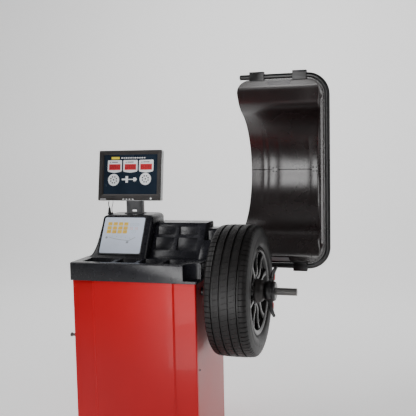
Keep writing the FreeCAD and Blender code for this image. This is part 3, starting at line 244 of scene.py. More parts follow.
class Plane:
    """A local frame: u to the right, v up and w outwards, from an origin."""

    def __init__(self, origin, u, v):
        self.o, self.u, self.v = Vector(origin), Vector(u).normalized(), Vector(v).normalized()
        self.w = self.u.cross(self.v)

    def at(self, u, v, w=0.0):
        return self.o + self.u * u + self.v * v + self.w * w


def badge(bm, plane, outline, low, high, edge=0.0):
    """A thin raised patch with the given (u, v) outline."""
    cu = sum(p[0] for p in outline) / len(outline)
    cv = sum(p[1] for p in outline) / len(outline)

    def ring(w, shrink):
        points = []
        for u, v in outline:
            d = math.hypot(u - cu, v - cv) or 1
            points.append(plane.at(u - (u - cu) / d * shrink, v - (v - cv) / d * shrink, w))
        return points

    skin(bm, [ring(low, 0), ring(high - edge, 0), ring(high, edge)])


def rect(u0, u1, v0, v1):
    return [(u0, v0), (u1, v0), (u1, v1), (u0, v1)]


def disc(u, v, r, steps=28):
    return [(u + r * math.cos(2 * math.pi * k / steps), v + r * math.sin(2 * math.pi * k / steps))
            for k in range(steps)]


def level_disc(x, y, z, r, steps):
    """A level circle of points at a height."""
    return [(*point, z) for point in disc(x, y, r, steps)]


def frame_loop(bm, plane, loops, steps=5):
    """A moulded frame: each loop is (u0, u1, v0, v1, corner radius, w)."""
    rings = []
    for u0, u1, v0, v1, r, w in loops:
        rings.append([plane.at(u, v, w) for u, v in round_rect(u0, u1, v0, v1, r, steps)])
    skin(bm, rings, closed_path=True)


def softened(node, width):
    """A copy of a CAD piece with its hard edges rounded, standing for it."""
    source = nodes[node]
    hard = math.radians(28)
    bm = bmesh.new()
    bm.from_mesh(source.data)
    bmesh.ops.remove_doubles(bm, verts=bm.verts, dist=1e-6)
    bmesh.ops.dissolve_limit(bm, angle_limit=math.radians(0.6), verts=bm.verts, edges=bm.edges)
    edges = [e for e in bm.edges if len(e.link_faces) == 2 and e.calc_face_angle(0) > hard]
    bmesh.ops.bevel(bm, geom=edges, offset=width, segments=2, profile=0.5, affect="EDGES",
                    clamp_overlap=True, loop_slide=True)
    bmesh.ops.triangulate(bm, faces=[f for f in bm.faces if len(f.verts) > 4])
    piece(f"{node}_part", bm, 40, node_body[node], slot_of[node], node)


def bend_between(start, middle, stop, steps):
    """The points after the start of a quadratic curve that leans towards a middle point."""
    points = []
    for k in range(1, steps + 1):
        t = k / steps
        points.append(tuple(a * (1 - t) ** 2 + 2 * b * t * (1 - t) + c * t * t
                            for a, b, c in zip(start, middle, stop)))
    return points


def spline(points, steps=10):
    """A quadratic spline, from points in millimetres, that starts and ends on its end points."""
    points = [Vector(p) * MM for p in points]
    out = [points[0]]
    a = points[0]
    for i in range(1, len(points) - 1):
        b = points[i]
        c = points[-1] if i == len(points) - 2 else (points[i] + points[i + 1]) / 2
        out += [Vector(p) for p in bend_between(a, b, c, steps)]
        a = c
    return out


# ------------------------------------------------------------------ tyre

def make_tyre():
    """A tyre with four grooves, tread blocks cut across its crown and marks on its walls."""
    half, outer, bead = 0.1045, 0.3135, 0.1921

    def crown(off):
        return outer - 0.0035 * (abs(off) / 0.08) ** 2.6

    # each row of the outside: distance from the middle, radius, depth of the cross cuts
    rows = [(-0.083, bead, 0), (-0.0862, bead + 0.015, 0), (-0.0865, bead + 0.019, 0),
            (-0.0935, bead + 0.026, 0), (-0.0985, bead + 0.030, 0), (-0.1005, bead + 0.036, 0),
            (-half + 0.0006, bead + 0.048, 0), (-half, bead + 0.060, 0), (-half + 0.001, bead + 0.072, 0),
            (-half + 0.0018, bead + 0.0735, 0), (-half + 0.0014, bead + 0.076, 0),
            (-half + 0.0040, bead + 0.088, 0), (-half + 0.0046, bead + 0.090, 0),
            (-0.0975, outer - 0.0190, 0), (-0.0952, outer - 0.0140, 0.0035),
            (-0.0905, outer - 0.0080, 0.0045), (-0.0850, outer - 0.0048, 0.005),
            (-0.0780, crown(0.078), 0.005), (-0.0720, crown(0.072), 0.005), (-0.0640, crown(0.064), 0.0045)]
    for groove in (-0.058, -0.020, 0.020, 0.058):
        r = crown(groove)
        rows += [(groove - 0.0052, r, 0.0012), (groove - 0.0038, r - 0.0072, 0),
                 (groove + 0.0038, r - 0.0072, 0), (groove + 0.0052, r, 0.0012)]
        if groove < 0.05:
            rows += [(groove + 0.0120, crown(groove + 0.012), 0.002),
                     (groove + 0.0190, crown(groove + 0.019), 0),
                     (groove + 0.0262, crown(groove + 0.026), 0.002)]
    rows += [(-o, r, d) for o, r, d in reversed(rows[:20])]
    inner = [(0.072, bead), (0.076, bead + 0.018), (0.094, bead + 0.057), (0.091, bead + 0.084),
             (0.080, outer - 0.015), (-0.080, outer - 0.015), (-0.091, bead + 0.084),
             (-0.094, bead + 0.057), (-0.076, bead + 0.018), (-0.072, bead)]
    pitches = 76
    step = 2 * math.pi / pitches
    cuts = ((0.0, 0), (0.40, 0), (0.80, 0), (0.825, 1), (0.94, 1), (0.965, 0))
    bm = bmesh.new()
    rings = []
    for p in range(pitches):
        for part, cut in cuts:
            turn = (p + part) * step
            ring = []
            for off, r, depth in rows:
                a = turn + (-off * 0.9 if abs(off) < 0.062 else -math.copysign(0.056, off))
                r -= depth * cut
                ring.append((WHEEL_MID + off, r * math.cos(a), SPINDLE_Z + r * math.sin(a)))
            for off, r in inner:
                ring.append((WHEEL_MID + off, r * math.cos(turn), SPINDLE_Z + r * math.sin(turn)))
            rings.append(ring)
    skin(bm, rings, closed_path=True)
    piece("tyre_body", bm, 38, "spindle", "tyre_rubber", "tyre")

    bm = bmesh.new()
    marks_round, mark_low, mark_high = 44, 0.2535, 0.2595
    for side in (-1, 1):
        wall = WHEEL_MID + side * (half + 0.0002)
        for k in range(marks_round):
            if k % 11 in (0, 5):
                continue
            a0 = 2 * math.pi * k / marks_round + 0.012 * side
            outline = [(a, mark_low) for a in (a0, a0 + 0.055, a0 + 0.11)]
            outline += [(a, mark_high) for a in (a0 + 0.11, a0 + 0.055, a0)]
            skin(bm, [[(wall - side * sunk, r * math.cos(a), SPINDLE_Z + r * math.sin(a))
                       for a, r in outline] for sunk in (0.0026, 0.0002)])
    piece("tyre_sidewall_marks", bm, 30, "spindle", "tyre_rubber")


# ------------------------------------------------------------------ rim

def make_rim():
    """The rim's barrel and hub, ten spokes, the bolt seats and the valve."""
    seat, spokes = 0.1905, 10
    bm = bmesh.new()
    flange = [(0.083, seat + 0.0013), (0.0855, seat + 0.0025), (0.0875, seat + 0.010),
              (0.0895, seat + 0.016), (0.0925, seat + 0.017), (0.0948, seat + 0.014), (0.095, seat + 0.009)]
    profile = [(-x, r) for x, r in reversed(flange)]
    profile += [(-0.005, seat), (0.000, seat - 0.004), (0.007, seat - 0.018), (0.057, seat - 0.018),
                (0.063, seat - 0.006), (0.067, seat)]
    profile += flange
    profile += [(0.0938, seat + 0.002), (0.090, seat - 0.005), (0.083, seat - 0.0075),
                (0.074, seat - 0.009), (0.063, seat - 0.0245), (0.056, seat - 0.0255),
                (0.001, seat - 0.0255), (-0.005, seat - 0.015), (-0.009, seat - 0.0075),
                (-0.089, seat - 0.006)]
    lathe(bm, [(WHEEL_MID + x, r) for x, r in profile], steps=144)
    lathe(bm, [(0.495, 0.033), (0.495, 0.076), (0.512, 0.080), (0.522, 0.079), (0.530, 0.074),
               (0.532, 0.070), (0.532, 0.033)])
    for i in range(spokes):
        a = 2 * math.pi * i / spokes
        radial = Vector((0, -math.sin(a), math.cos(a)))
        across = Vector((0, math.cos(a), math.sin(a)))
        rings = []
        # each section: radius, x of its middle, half width, half thickness
        for r, x, w, t in ((0.064, 0.5235, 0.0165, 0.0085), (0.080, 0.5275, 0.0150, 0.0100),
                           (0.100, 0.5290, 0.0125, 0.0105), (0.125, 0.5285, 0.0112, 0.0100),
                           (0.150, 0.5295, 0.0112, 0.0095), (0.168, 0.5320, 0.0130, 0.0095),
                           (0.180, 0.5350, 0.0160, 0.0095)):
            ring = []
            for u, v in round_rect(-w, w, -t, t, 0.0055, 3):
                ring.append(Vector((x + v, 0, SPINDLE_Z)) + radial * r + across * u)
            rings.append(ring)
        skin(bm, rings)
    piece("wheel_rim_casting", bm, 36, "spindle", "rim_alloy", "rim_barrel", "rim_centre")

    bm = bmesh.new()
    for i in range(5):
        a = math.radians(90 + 72 * i)
        y, z = 0.0655 * math.cos(a), SPINDLE_Z + 0.0655 * math.sin(a)
        lathe(bm, [(0.528, 0.0062), (0.528, 0.0095), (0.5335, 0.0098), (0.5345, 0.0088), (0.533, 0.0062)],
              y, z, 24)
    piece("rim_bolt_seats", bm, 30, "spindle", "rim_alloy", look=MATERIALS["dark_steel"])

    bm = bmesh.new()
    a = math.radians(108)
    y, z = 0.172 * math.cos(a), SPINDLE_Z + 0.172 * math.sin(a)
    lathe(bm, [(0.517, 0.0), (0.517, 0.0058), (0.523, 0.0055), (0.526, 0.004), (0.541, 0.0036),
               (0.5415, 0.0042), (0.5500, 0.0042), (0.551, 0.003), (0.551, 0.0)], y, z, 24)
    piece("valve", bm, 35, "spindle", "cable_black", "valve_stem")


# ------------------------------------------------------------------ spindle and nut

def make_spindle():
    """The shaft, with a rounded thread on its free end."""
    bm = bmesh.new()
    lathe(bm, [(-0.020, 0.0), (-0.020, 0.014), (-0.019, 0.015), (0.060, 0.015), (0.060, 0.018),
               (0.084, 0.018), (0.084, 0.022), (0.374, 0.022), (0.374, 0.018), (0.514, 0.018),
               (0.514, 0.0)], steps=64)
    start, end, pitch, sides = 0.514, 0.724, 0.0042, 48
    turns = round((end - start) / pitch)
    # radii of the thread's form over one pitch
    shape = (0.0180, 0.0180, 0.0179, 0.0172, 0.0166, 0.0165, 0.0169, 0.0176)
    sub = len(shape)
    rings = []
    for k in range(turns * sub + 1):
        x = start + pitch * k / sub
        plain_end = k < sub or k > turns * sub - 2
        ring = []
        for s in range(sides):
            a = 2 * math.pi * s / sides
            phase = (k / sub + s / sides) % 1.0 * sub
            i = int(phase) % sub
            f = phase - int(phase)
            r = 0.0178 if plain_end else shape[i] * (1 - f) + shape[(i + 1) % sub] * f
            ring.append((x, r * math.cos(a), SPINDLE_Z + r * math.sin(a)))
        rings.append(ring)
    for x, r in ((0.7252, 0.0170), (0.726, 0.0158), (0.726, 0.006), (0.7225, 0.002)):
        angles = [2 * math.pi * s / sides for s in range(sides)]
        rings.append([(x, r * math.cos(a), SPINDLE_Z + r * math.sin(a)) for a in angles])
    skin(bm, rings)
    piece("spindle_thread", bm, 50, "spindle", "bare_steel", "spindle_shaft")


def turned_point(p, angle):
    """Turns a point, given relative to the spindle's axis, about that axis."""
    v = Matrix.Rotation(angle, 3, "X") @ Vector(p)
    return (v.x, v.y, v.z + SPINDLE_Z)


def make_nut():
    """The quick nut's hub with two handles, a release trigger in each, and its pressure cup."""
    bm = bmesh.new()
    lathe(bm, [(0.575, 0.01806), (0.575, 0.039), (0.578, 0.043), (0.586, 0.0465), (0.590, 0.047),
               (0.603, 0.047), (0.605, 0.0455), (0.612, 0.0455), (0.614, 0.047), (0.620, 0.0465),
               (0.625, 0.043), (0.627, 0.038), (0.627, 0.026), (0.6262, 0.020), (0.6262, 0.01806)],
          steps=80)
    # each section: radius, x of the back, x of the front, half width
    sections = ((0.036, 0.588, 0.614, 0.0135), (0.050, 0.590, 0.6145, 0.0135),
                (0.0513, 0.5905, 0.6048, 0.0135), (0.066, 0.5945, 0.6048, 0.0135),
                (0.0807, 0.5985, 0.6048, 0.0135), (0.082, 0.5990, 0.6172, 0.0135),
                (0.092, 0.6030, 0.6205, 0.0130), (0.102, 0.6080, 0.6242, 0.0124),
                (0.111, 0.6125, 0.6285, 0.0112), (0.117, 0.6158, 0.6280, 0.0090),
                (0.1205, 0.6185, 0.6245, 0.0055))
    for half_turn in (0, math.pi):
        angle = HANDLE_TURN + half_turn
        rings = []
        for r, back, front, w in sections:
            rings.append([turned_point((x, y, r), angle)
                          for x, y in round_rect(back, front, -w, w, 0.0042, 3)])
        skin(bm, rings)
        for y in (-0.0117, 0.0117):
            rings = []
            for r, front in ((0.0500, 0.6150), (0.066, 0.6165), (0.0825, 0.6182)):
                rings.append([turned_point((x, yy, r), angle)
                              for x, yy in round_rect(0.600, front, y - 0.0018, y + 0.0018, 0.0012, 2)])
            skin(bm, rings)
    piece("quick_nut_casting", bm, 38, "quick_nut", "cast_nut", "nut_body")
    for half_turn, body in ((0, "trigger_a"), (math.pi, "trigger_b")):
        node = f"release_{body}"
        angle = HANDLE_TURN + half_turn
        bm = bmesh.new()
        rings = []
        count = 18
        for k in range(count + 1):
            r = 0.0521 + 0.0278 * k / count
            grip = 0.0009 * math.cos(2 * math.pi * k / 3)
            front = 0.6182 + grip + (0.001 if 2 < k < count - 2 else -0.001)
            rings.append([turned_point((x, y, r), angle)
                          for x, y in round_rect(0.6100, front, -0.0088, 0.0088, 0.0022, 3)])
        skin(bm, rings)
        piece(f"{node}_pad", bm, 45, body, "trigger_red", node)
    bm = bmesh.new()
    lathe(bm, [(0.5324, 0.047), (0.5324, 0.0572), (0.534, 0.0582), (0.538, 0.0578), (0.541, 0.0560),
               (0.555, 0.0522), (0.562, 0.0500), (0.570, 0.0425), (0.5748, 0.038), (0.5748, 0.020),
               (0.566, 0.020), (0.561, 0.038), (0.546, 0.044)], steps=80)
    piece("pressure_cup", bm, 38, "quick_nut", "black_plastic", "nut_cup")


# ------------------------------------------------------------------ guard

HOOD_Y = 0.510                            # front plane of the guard
HOOD_Z = 0.825                            # lower run of its tube
HOOD_SPAN = 1.011                         # between the tube's two runs
HOOD_ARC, HOOD_BACK = 0.345, 0.008        # radius of the bowl, its centre behind the front plane
HOOD_MID = HOOD_Z + HOOD_SPAN / 2
HOOD_LEFT, HOOD_STOP = 0.322, 0.712       # open edge, and where the bowl bends into its closed end
RIM_RIGHT, RIM_REACH = 0.7960, HOOD_SPAN / 2 - 0.0145
LEFT_CORNER, RIGHT_CORNER = 0.076, 0.091  # corner radii of the flat rim
END_FRONT, END_DRAFT = 0.778, 0.043       # the closed end at the front plane, and its lean inwards
HOOD_WALL = 0.004


def hood_columns():
    """Positions across the bowl with the lift of its four pressed ribs."""
    columns = [(x, 0) for x in (HOOD_LEFT, 0.345, 0.370, 0.415, 0.460, 0.525, 0.560, 0.600, 0.635, 0.690,
                                HOOD_STOP)]
    for x in (0.398, 0.431, 0.490, 0.666):
        columns += [(x - 0.0034, 0), (x - 0.0008, 0.0005), (x + 0.0008, 0.0005), (x + 0.0034, 0)]
    return sorted(columns)


def hood_section():
    """The guard's half section as (rise from the seam, depth behind the front plane): a round
    bowl, a sloping shoulder and a flat lip, joined by short curves."""
    bowl_end, steps = math.radians(68), 24
    rows = []
    for k in range(steps + 1):
        a = bowl_end * k / steps
        rows.append((HOOD_ARC * math.sin(a), HOOD_BACK + HOOD_ARC * math.cos(a)))
    rows += bend_between(rows[-1], (0.3451, 0.0749), (0.385, 0.0474), 7)
    rows.append((0.425, 0.0198))
    rows += bend_between(rows[-1], (0.4538, 0.0), (0.475, 0.0), 7)
    rows += [(0.483, 0.0), (RIM_REACH, 0.0)]
    # more rows where the rim's corners turn
    corner = RIM_REACH - RIGHT_CORNER
    inner = [row for row in rows if row[0] < corner]
    outer = [row for row in rows if row[0] >= corner]
    known = [inner[-1]] + outer
    for k in range(1, 10):
        rise = corner + RIGHT_CORNER * math.sin(math.pi / 2 * k / 10)
        for (r0, d0), (r1, d1) in zip(known, known[1:]):
            if r0 < rise <= r1:
                outer.append((rise, d0 + (d1 - d0) * (rise - r0) / (r1 - r0)))
    return inner + sorted(set(outer))


def hood_edges(rise):
    """The left and right limits of the guard's panel at a height, with rounded corners."""
    limits = []
    for edge, radius, sign in ((HOOD_LEFT, LEFT_CORNER, 1), (RIM_RIGHT, RIGHT_CORNER, -1)):
        over = max(0.0, rise - (RIM_REACH - radius))
        limits.append(edge + sign * (radius - math.sqrt(max(0.0, radius ** 2 - over ** 2))))
    return limits


def hood_row(rise, depth, inside, side):
    """Points across the panel at one height: ribbed bowl, corner, drafted end and rim."""
    left, right = hood_edges(rise)
    angle = math.degrees(math.asin(min(1.0, rise / HOOD_ARC)))
    fade = max(0.0, min(1.0, (50 - angle) / 34))
    fade = fade * fade * (3 - 2 * fade)
    skin_in = HOOD_WALL if inside else 0.0

    def end_at(deep):
        return END_FRONT - skin_in - END_DRAFT * max(0.0, deep) / (HOOD_ARC + HOOD_BACK)

    bend = min(0.024, 0.45 * depth)
    stop = end_at(depth) - bend
    across = []
    for x, lift in hood_columns():
        stretch = max(0.0, (x - 0.67) / (HOOD_STOP - 0.67))
        across.append((x + (stop - HOOD_STOP) * stretch, depth - lift * fade))
    for k in range(1, 7):
        a = math.pi / 2 * k / 6
        across.append((stop + bend * math.sin(a), depth - bend + bend * math.cos(a)))
    for k in range(1, 7):
        deep = (depth - bend) * (1 - k / 6)
        across.append((end_at(deep), deep))
    across += [(0.4 * END_FRONT + 0.6 * RIM_RIGHT, 0.0), (RIM_RIGHT, 0.0)]
    points = []
    for x, deep in across:
        if rise > RIM_REACH - RIGHT_CORNER:
            x = left + (x - HOOD_LEFT) * (right - left) / (RIM_RIGHT - HOOD_LEFT)
        y = max(deep - HOOD_WALL, 0.0) if inside else max(deep, HOOD_WALL)
        points.append(Vector((x, HOOD_Y + y, HOOD_MID + side * rise)))
    return points


def guard_loop(y, low, high, start, stop, right, bend, run, turn):
    """A level run to the right, a bend up, an upright, a bend back and a level run to the left."""
    corner = right - bend
    path = [(start + (corner - start) * s / run, y, low) for s in range(run + 1)]
    for s in range(1, turn + 1):
        a = math.radians(-90 + 90 * s / turn)
        path.append((corner + bend * math.cos(a), y, low + bend + bend * math.sin(a)))
    for s in range(1, 13):
        path.append((right, y, low + bend + (high - low - 2 * bend) * s / 12))
    for s in range(1, turn + 1):
        a = math.radians(90 * s / turn)
        path.append((corner + bend * math.cos(a), y, high - bend + bend * math.sin(a)))
    for s in range(1, run + 1):
        path.append((corner - (corner - stop) * s / run, y, high))
    return path


def make_hood():
    """Two thin moulded halves that meet on the seam, each with its flat rim."""
    for side, level in ((1, "upper"), (-1, "lower")):
        bm = bmesh.new()
        section = hood_section()
        section = [(0.0, section[0][1] + 0.0025), (0.0022, section[0][1])] + section[1:]
        skins = []
        for inside in (True, False):
            skins.append([[bm.verts.new(p) for p in hood_row(rise, depth, inside, side)]
                          for rise, depth in section])
        inner, outer = skins
        for grid in skins:
            for a, b in zip(grid, grid[1:]):
                for i in range(len(a) - 1):
                    bm.faces.new((a[i], a[i + 1], b[i + 1], b[i]))
        for a, b in ((inner[0], outer[0]), (inner[-1], outer[-1]),
                     ([r[0] for r in inner], [r[0] for r in outer]),
                     ([r[-1] for r in inner], [r[-1] for r in outer])):
            for i in range(len(a) - 1):
                bm.faces.new((a[i], a[i + 1], b[i + 1], b[i]))
        piece(f"guard_{level}", bm, 35, "guard", "hood_plastic", f"hood_{level}_shell")

    # a raised bead round the flat rim, which stops short of the tube's two ends
    bead_in = 0.023
    bm = bmesh.new()
    sweep(bm, guard_loop(HOOD_Y - 0.001, HOOD_Z + bead_in, HOOD_Z + HOOD_SPAN - bead_in, 0.60, 0.62,
                         0.7885, 0.086, 6, 8), 0.0028, 10)
    piece("guard_rim_bead", bm, 60, "guard", "hood_plastic")

    tube_top = HOOD_Z + HOOD_SPAN
    bm = bmesh.new()
    sweep(bm, guard_loop(HOOD_Y, HOOD_Z, tube_top, 0.225, 0.350, 0.809, 0.105, 10, 14), 0.014, 28)
    piece("guard_tube", bm, 50, "guard", "black_steel", "hood_tube")

    bm = bmesh.new()
    lathe(bm, [(0.345, 0.0), (0.345, 0.011), (0.3465, 0.0134), (0.3495, 0.0140), (0.352, 0.0140),
               (0.352, 0.0)], HOOD_Y, tube_top, 32)
    piece("guard_tube_plug", bm, 35, "guard", "black_plastic", "hood_end_plug")

    plates, screws = bmesh.new(), bmesh.new()
    back = HOOD_Y + HOOD_BACK + HOOD_ARC - HOOD_WALL
    for x in (0.461, 0.695):
        plane = Plane((x, back - 0.0006, HOOD_MID), (1, 0, 0), (0, 0, 1))
        badge(plates, plane, round_rect(-0.016, 0.016, -0.015, 0.015, 0.003, 3), 0.0, 0.0022, 0.0005)
        for du in (-0.0095, 0.0095):
            for dv in (-0.0105, 0.0105):
                badge(screws, plane, disc(du, dv, 0.0042, 16), 0.0015, 0.0048, 0.0012)
    piece("guard_joint_plates", plates, 30, "guard", "bracket_zinc", "hood_joint_plates",
          look=MATERIALS["hood_plastic"])
    piece("guard_joint_screws", screws, 30, "guard", "bracket_zinc", look=MATERIALS["cable_black"])


# ------------------------------------------------------------------ console and keypad

LEAN = math.radians(30)
KEYPAD_WIDE, KEYPAD_RUN = 0.214, 0.191
KEYPAD = Plane((-0.238, -0.0815, 0.965), (1, 0, 0), (0, math.sin(LEAN), math.cos(LEAN)))


def make_console():
    """A flared moulding built up of rounded level sections."""
    bm = bmesh.new()
    flare = ((0.945, -0.292), (0.951, -0.284), (0.961, -0.277), (0.975, -0.2705), (0.991, -0.266),
             (1.012, -0.262), (1.040, -0.2590), (1.075, -0.2570), (1.105, -0.2555), (1.122, -0.2535))
    right, rear, corner, top_round = 0.010, 0.198, 0.020, 0.021
    shoulder, shoulder_left = flare[-1]

    def front_at(z):
        return -0.094 + math.tan(LEAN) * (z - 0.945) + 0.0012

    rings = [[(x, y, z) for x, y in round_rect(left, right, front_at(z), rear, corner, 6)]
             for z, left in flare]
    for k in range(1, 8):
        a = math.radians(90 * k / 7)
        z = shoulder + top_round * math.sin(a)
        inset = top_round * (1 - math.cos(a))
        outline = round_rect(shoulder_left + inset, right - inset, front_at(z) + inset * 0.55,
                             rear - inset, corner + inset * 0.3, 6)
        rings.append([(x, y, z) for x, y in outline])
    skin(bm, rings)
    piece("console_moulding", bm, 50, "machine", "black_moulding", "console_shell")


def make_keypad():
    """The console's sheet with its surround, twelve keys, icons and a gauge sign."""
    w, h = KEYPAD_WIDE, KEYPAD_RUN
    bm = bmesh.new()
    frame_loop(bm, KEYPAD, [
        (-0.010, w + 0.010, -0.010, h + 0.010, 0.014, -0.002),
        (-0.010, w + 0.010, -0.010, h + 0.010, 0.014, 0.0014),
        (-0.0085, w + 0.0085, -0.0085, h + 0.0085, 0.0125, 0.0030),
        (-0.0045, w + 0.0045, -0.0045, h + 0.0045, 0.010, 0.0032),
        (-0.002, w + 0.002, -0.002, h + 0.002, 0.009, 0.0020),
        (0.0, w, 0.0, h, 0.008, 0.0008),
        (0.0, w, 0.0, h, 0.008, -0.002),
    ], 6)
    piece("keypad_surround", bm, 45, "machine", "black_moulding")

    bm = bmesh.new()
    badge(bm, KEYPAD, round_rect(0.0005, w - 0.0005, 0.0005, h - 0.0005, 0.0075, 6), -0.002, 0.0009, 0.0003)
    piece("keypad_sheet", bm, 40, "machine", "keypad_film", "keypad_panel")

    keys, glyphs = bmesh.new(), bmesh.new()
    for v in (0.596, 0.700, 0.815):
        for column, u in enumerate((0.15, 0.285, 0.42, 0.55)):
            cu, cv = u * w, v * h
            badge(keys, KEYPAD, round_rect(cu - 0.0112, cu + 0.0112, cv - 0.0088, cv + 0.0088, 0.003, 4),
                  0.0005, 0.0019, 0.0006)
            signs = (disc(cu, cv, 0.0040, 14),
                     [(cu - 0.005, cv - 0.003), (cu + 0.005, cv - 0.003), (cu, cv + 0.005)],
                     rect(cu - 0.005, cu + 0.005, cv - 0.0012, cv + 0.0012),
                     rect(cu - 0.0035, cu + 0.0035, cv - 0.0035, cv + 0.0035))
            badge(glyphs, KEYPAD, signs[column], 0.0015, 0.00215)
    piece("keypad_keys", keys, 40, "machine", "keypad_film", look=KEY_YELLOW)
    piece("keypad_key_signs", glyphs, 40, "machine", "keypad_film",
          look=material("key_sign", (0.80, 0.52, 0.1), 0.5))

    blue, red, grey = bmesh.new(), bmesh.new(), bmesh.new()
    for u, v, bm_, du in ((0.70, 0.80, blue, 0.010), (0.82, 0.80, blue, 0.010), (0.70, 0.69, red, 0.007),
                          (0.82, 0.69, red, 0.007), (0.76, 0.60, blue, 0.013)):
        cu, cv, line_width = u * w, v * h, 0.0012
        outside = (cu - du, cu + du, cv - 0.007, cv + 0.007, 0.003)
        inside = (cu - du + line_width, cu + du - line_width, cv - 0.0058, cv + 0.0058, 0.002)
        frame_loop(bm_, KEYPAD, [(*outside, 0.0006), (*outside, 0.0012),
                                 (*inside, 0.0012), (*inside, 0.0006)], 3)
        badge(bm_, KEYPAD, rect(cu - 0.0035, cu + 0.0035, cv - 0.0009, cv + 0.0009), 0.0006, 0.00125)
    line = [(0.17, 0.445), (0.30, 0.405), (0.45, 0.375), (0.60, 0.360), (0.68, 0.355), (0.76, 0.40),
            (0.83, 0.445)]
    for (u0, v0), (u1, v1) in zip(line, line[1:]):
        a, b = Vector((u0 * w, v0 * h)), Vector((u1 * w, v1 * h))
        n = (b - a).normalized()
        n = Vector((-n.y, n.x)) * 0.0011
        badge(grey, KEYPAD, [a - n, b - n, b + n, a + n], 0.0006, 0.00125)
    badge(grey, KEYPAD, disc(0.12 * w, 0.43 * h, 0.006, 18), 0.0006, 0.0012)
    badge(grey, KEYPAD, rect(0.62 * w, 0.68 * w, 0.28 * h, 0.335 * h), 0.0006, 0.0012)
    for k in range(5):
        badge(blue, KEYPAD, disc((0.26 + 0.11 * k) * w, (0.47 - 0.012 * k) * h, 0.0022, 12), 0.0006, 0.0012)
    piece("keypad_icons_blue", blue, 40, "machine", "keypad_film", look=INK_BLUE)
    piece("keypad_icons_red", red, 40, "machine", "keypad_film", look=INK_RED)
    piece("keypad_gauge_sign", grey, 40, "machine", "keypad_film", look=INK_GREY)


# ------------------------------------------------------------------ monitor

TILT = math.radians(-9)
MON_V = Vector((0, -math.sin(TILT), math.cos(TILT)))
MON_OUT = Vector((0, -math.cos(TILT), -math.sin(TILT)))
PIN = Vector((0, 0.115, 1.340))
MON_LEFT, MON_RIGHT, MON_LOW, MON_HIGH = -0.286, 0.049, -0.1368, 0.1142
MON_FACE = 0.0644                                    # the bezel's front, ahead of the pin
BEZEL_SIDE, BEZEL_LOW, BEZEL_HIGH = 0.024, 0.032, 0.020
GLASS_DEPTH = 0.0095                                 # behind the bezel's front


def monitor_plane(depth):
    """The plane of the monitor's face, moved to a local depth in front of the pin."""
    origin = PIN + Vector((MON_LEFT, 0, 0)) + MON_V * MON_LOW + MON_OUT * depth
    return Plane(origin, (1, 0, 0), MON_V)


def make_picture():
    """Plain shapes laid on the monitor's glass, placed as fractions of its width and height."""
    wide = MON_RIGHT - MON_LEFT - 2 * BEZEL_SIDE
    high = MON_HIGH - MON_LOW - BEZEL_LOW - BEZEL_HIGH
    glass = monitor_plane(MON_FACE - GLASS_DEPTH)

    def on(u, v):
        return (BEZEL_SIDE + u * wide, BEZEL_LOW + v * high)

    def patch(bm, points, top=0.0005):
        badge(bm, glass, points, -0.0005, top)

    def block(bm, u0, u1, v0, v1, top=0.0005):
        patch(bm, [on(u0, v0), on(u1, v0), on(u1, v1), on(u0, v1)], top)

    white, red, dim, yellow, navy = (bmesh.new() for _ in range(5))
    block(yellow, 0.140, 0.292, 0.885, 0.945)
    u = 0.325
    for width in (0.030, 0.022, 0.034, 0.026, 0.030, 0.020, 0.036, 0.028, 0.024, 0.032, 0.026):
        block(white, u, u + width, 0.902, 0.930)
        u += width + 0.014
    # three shields, each with a red display of three dim digits
    half, top, low = 0.134, 0.862, 0.600
    for cu in (0.205, 0.500, 0.795):
        patch(white, [on(cu + half * du, v) for du, v in (
            (-1, low), (-0.92, low - 0.030), (-0.5, low - 0.046), (0, low - 0.058), (0.5, low - 0.046),
            (0.92, low - 0.030), (1, low), (1, top - 0.02), (0.94, top), (-0.94, top), (-1, top - 0.02))])
        block(red, cu - 0.108, cu + 0.108, 0.612, 0.760, 0.0009)
        for digit in range(3):
            left = cu - 0.088 + 0.065 * digit
            for su, sv, du, dv in ((0.0, 0.640, 0.046, 0.010), (0.0, 0.680, 0.046, 0.010),
                                   (0.0, 0.722, 0.046, 0.010), (0.0, 0.640, 0.010, 0.092),
                                   (0.036, 0.640, 0.010, 0.092)):
                block(dim, left + su, left + su + du, sv, sv + dv, 0.0012)
        block(navy, cu - 0.055, cu + 0.060, 0.800, 0.818, 0.0009)
        patch(navy, [on(cu - 0.090, 0.790), on(cu - 0.072, 0.790), on(cu - 0.081, 0.830)], 0.0009)
    # two wheels with a hub and eight holes
    for cu, cv in ((0.190, 0.362), (0.785, 0.382)):
        x, y = on(cu, cv)
        patch(white, disc(x, y, 0.106 * wide, 40))
        for k in range(8):
            t = math.radians(45 * k + 22)
            hole = (x + 0.056 * wide * math.cos(t), y + 0.056 * wide * math.sin(t))
            patch(navy, disc(*hole, 0.0125 * wide, 12), 0.0009)
        patch(navy, disc(x, y, 0.014 * wide, 12), 0.0009)
    # a plain wheel-on-shaft sign between them
    block(white, 0.345, 0.415, 0.352, 0.392)
    block(white, 0.415, 0.462, 0.290, 0.454)
    block(white, 0.462, 0.560, 0.360, 0.384)
    patch(white, [on(0.560, 0.325), on(0.605, 0.325), on(0.630, 0.372), on(0.605, 0.419), on(0.560, 0.419)])
    for bm, name, mat in ((white, "picture_white", WHITE), (red, "picture_red", RED_LIGHT),
                          (dim, "picture_digits", RED_DARK), (yellow, "picture_label", YELLOW),
                          (navy, "picture_marks", MATERIALS["screen_glass"])):
        piece(name, bm, 30, "monitor", "screen_glass", look=mat)


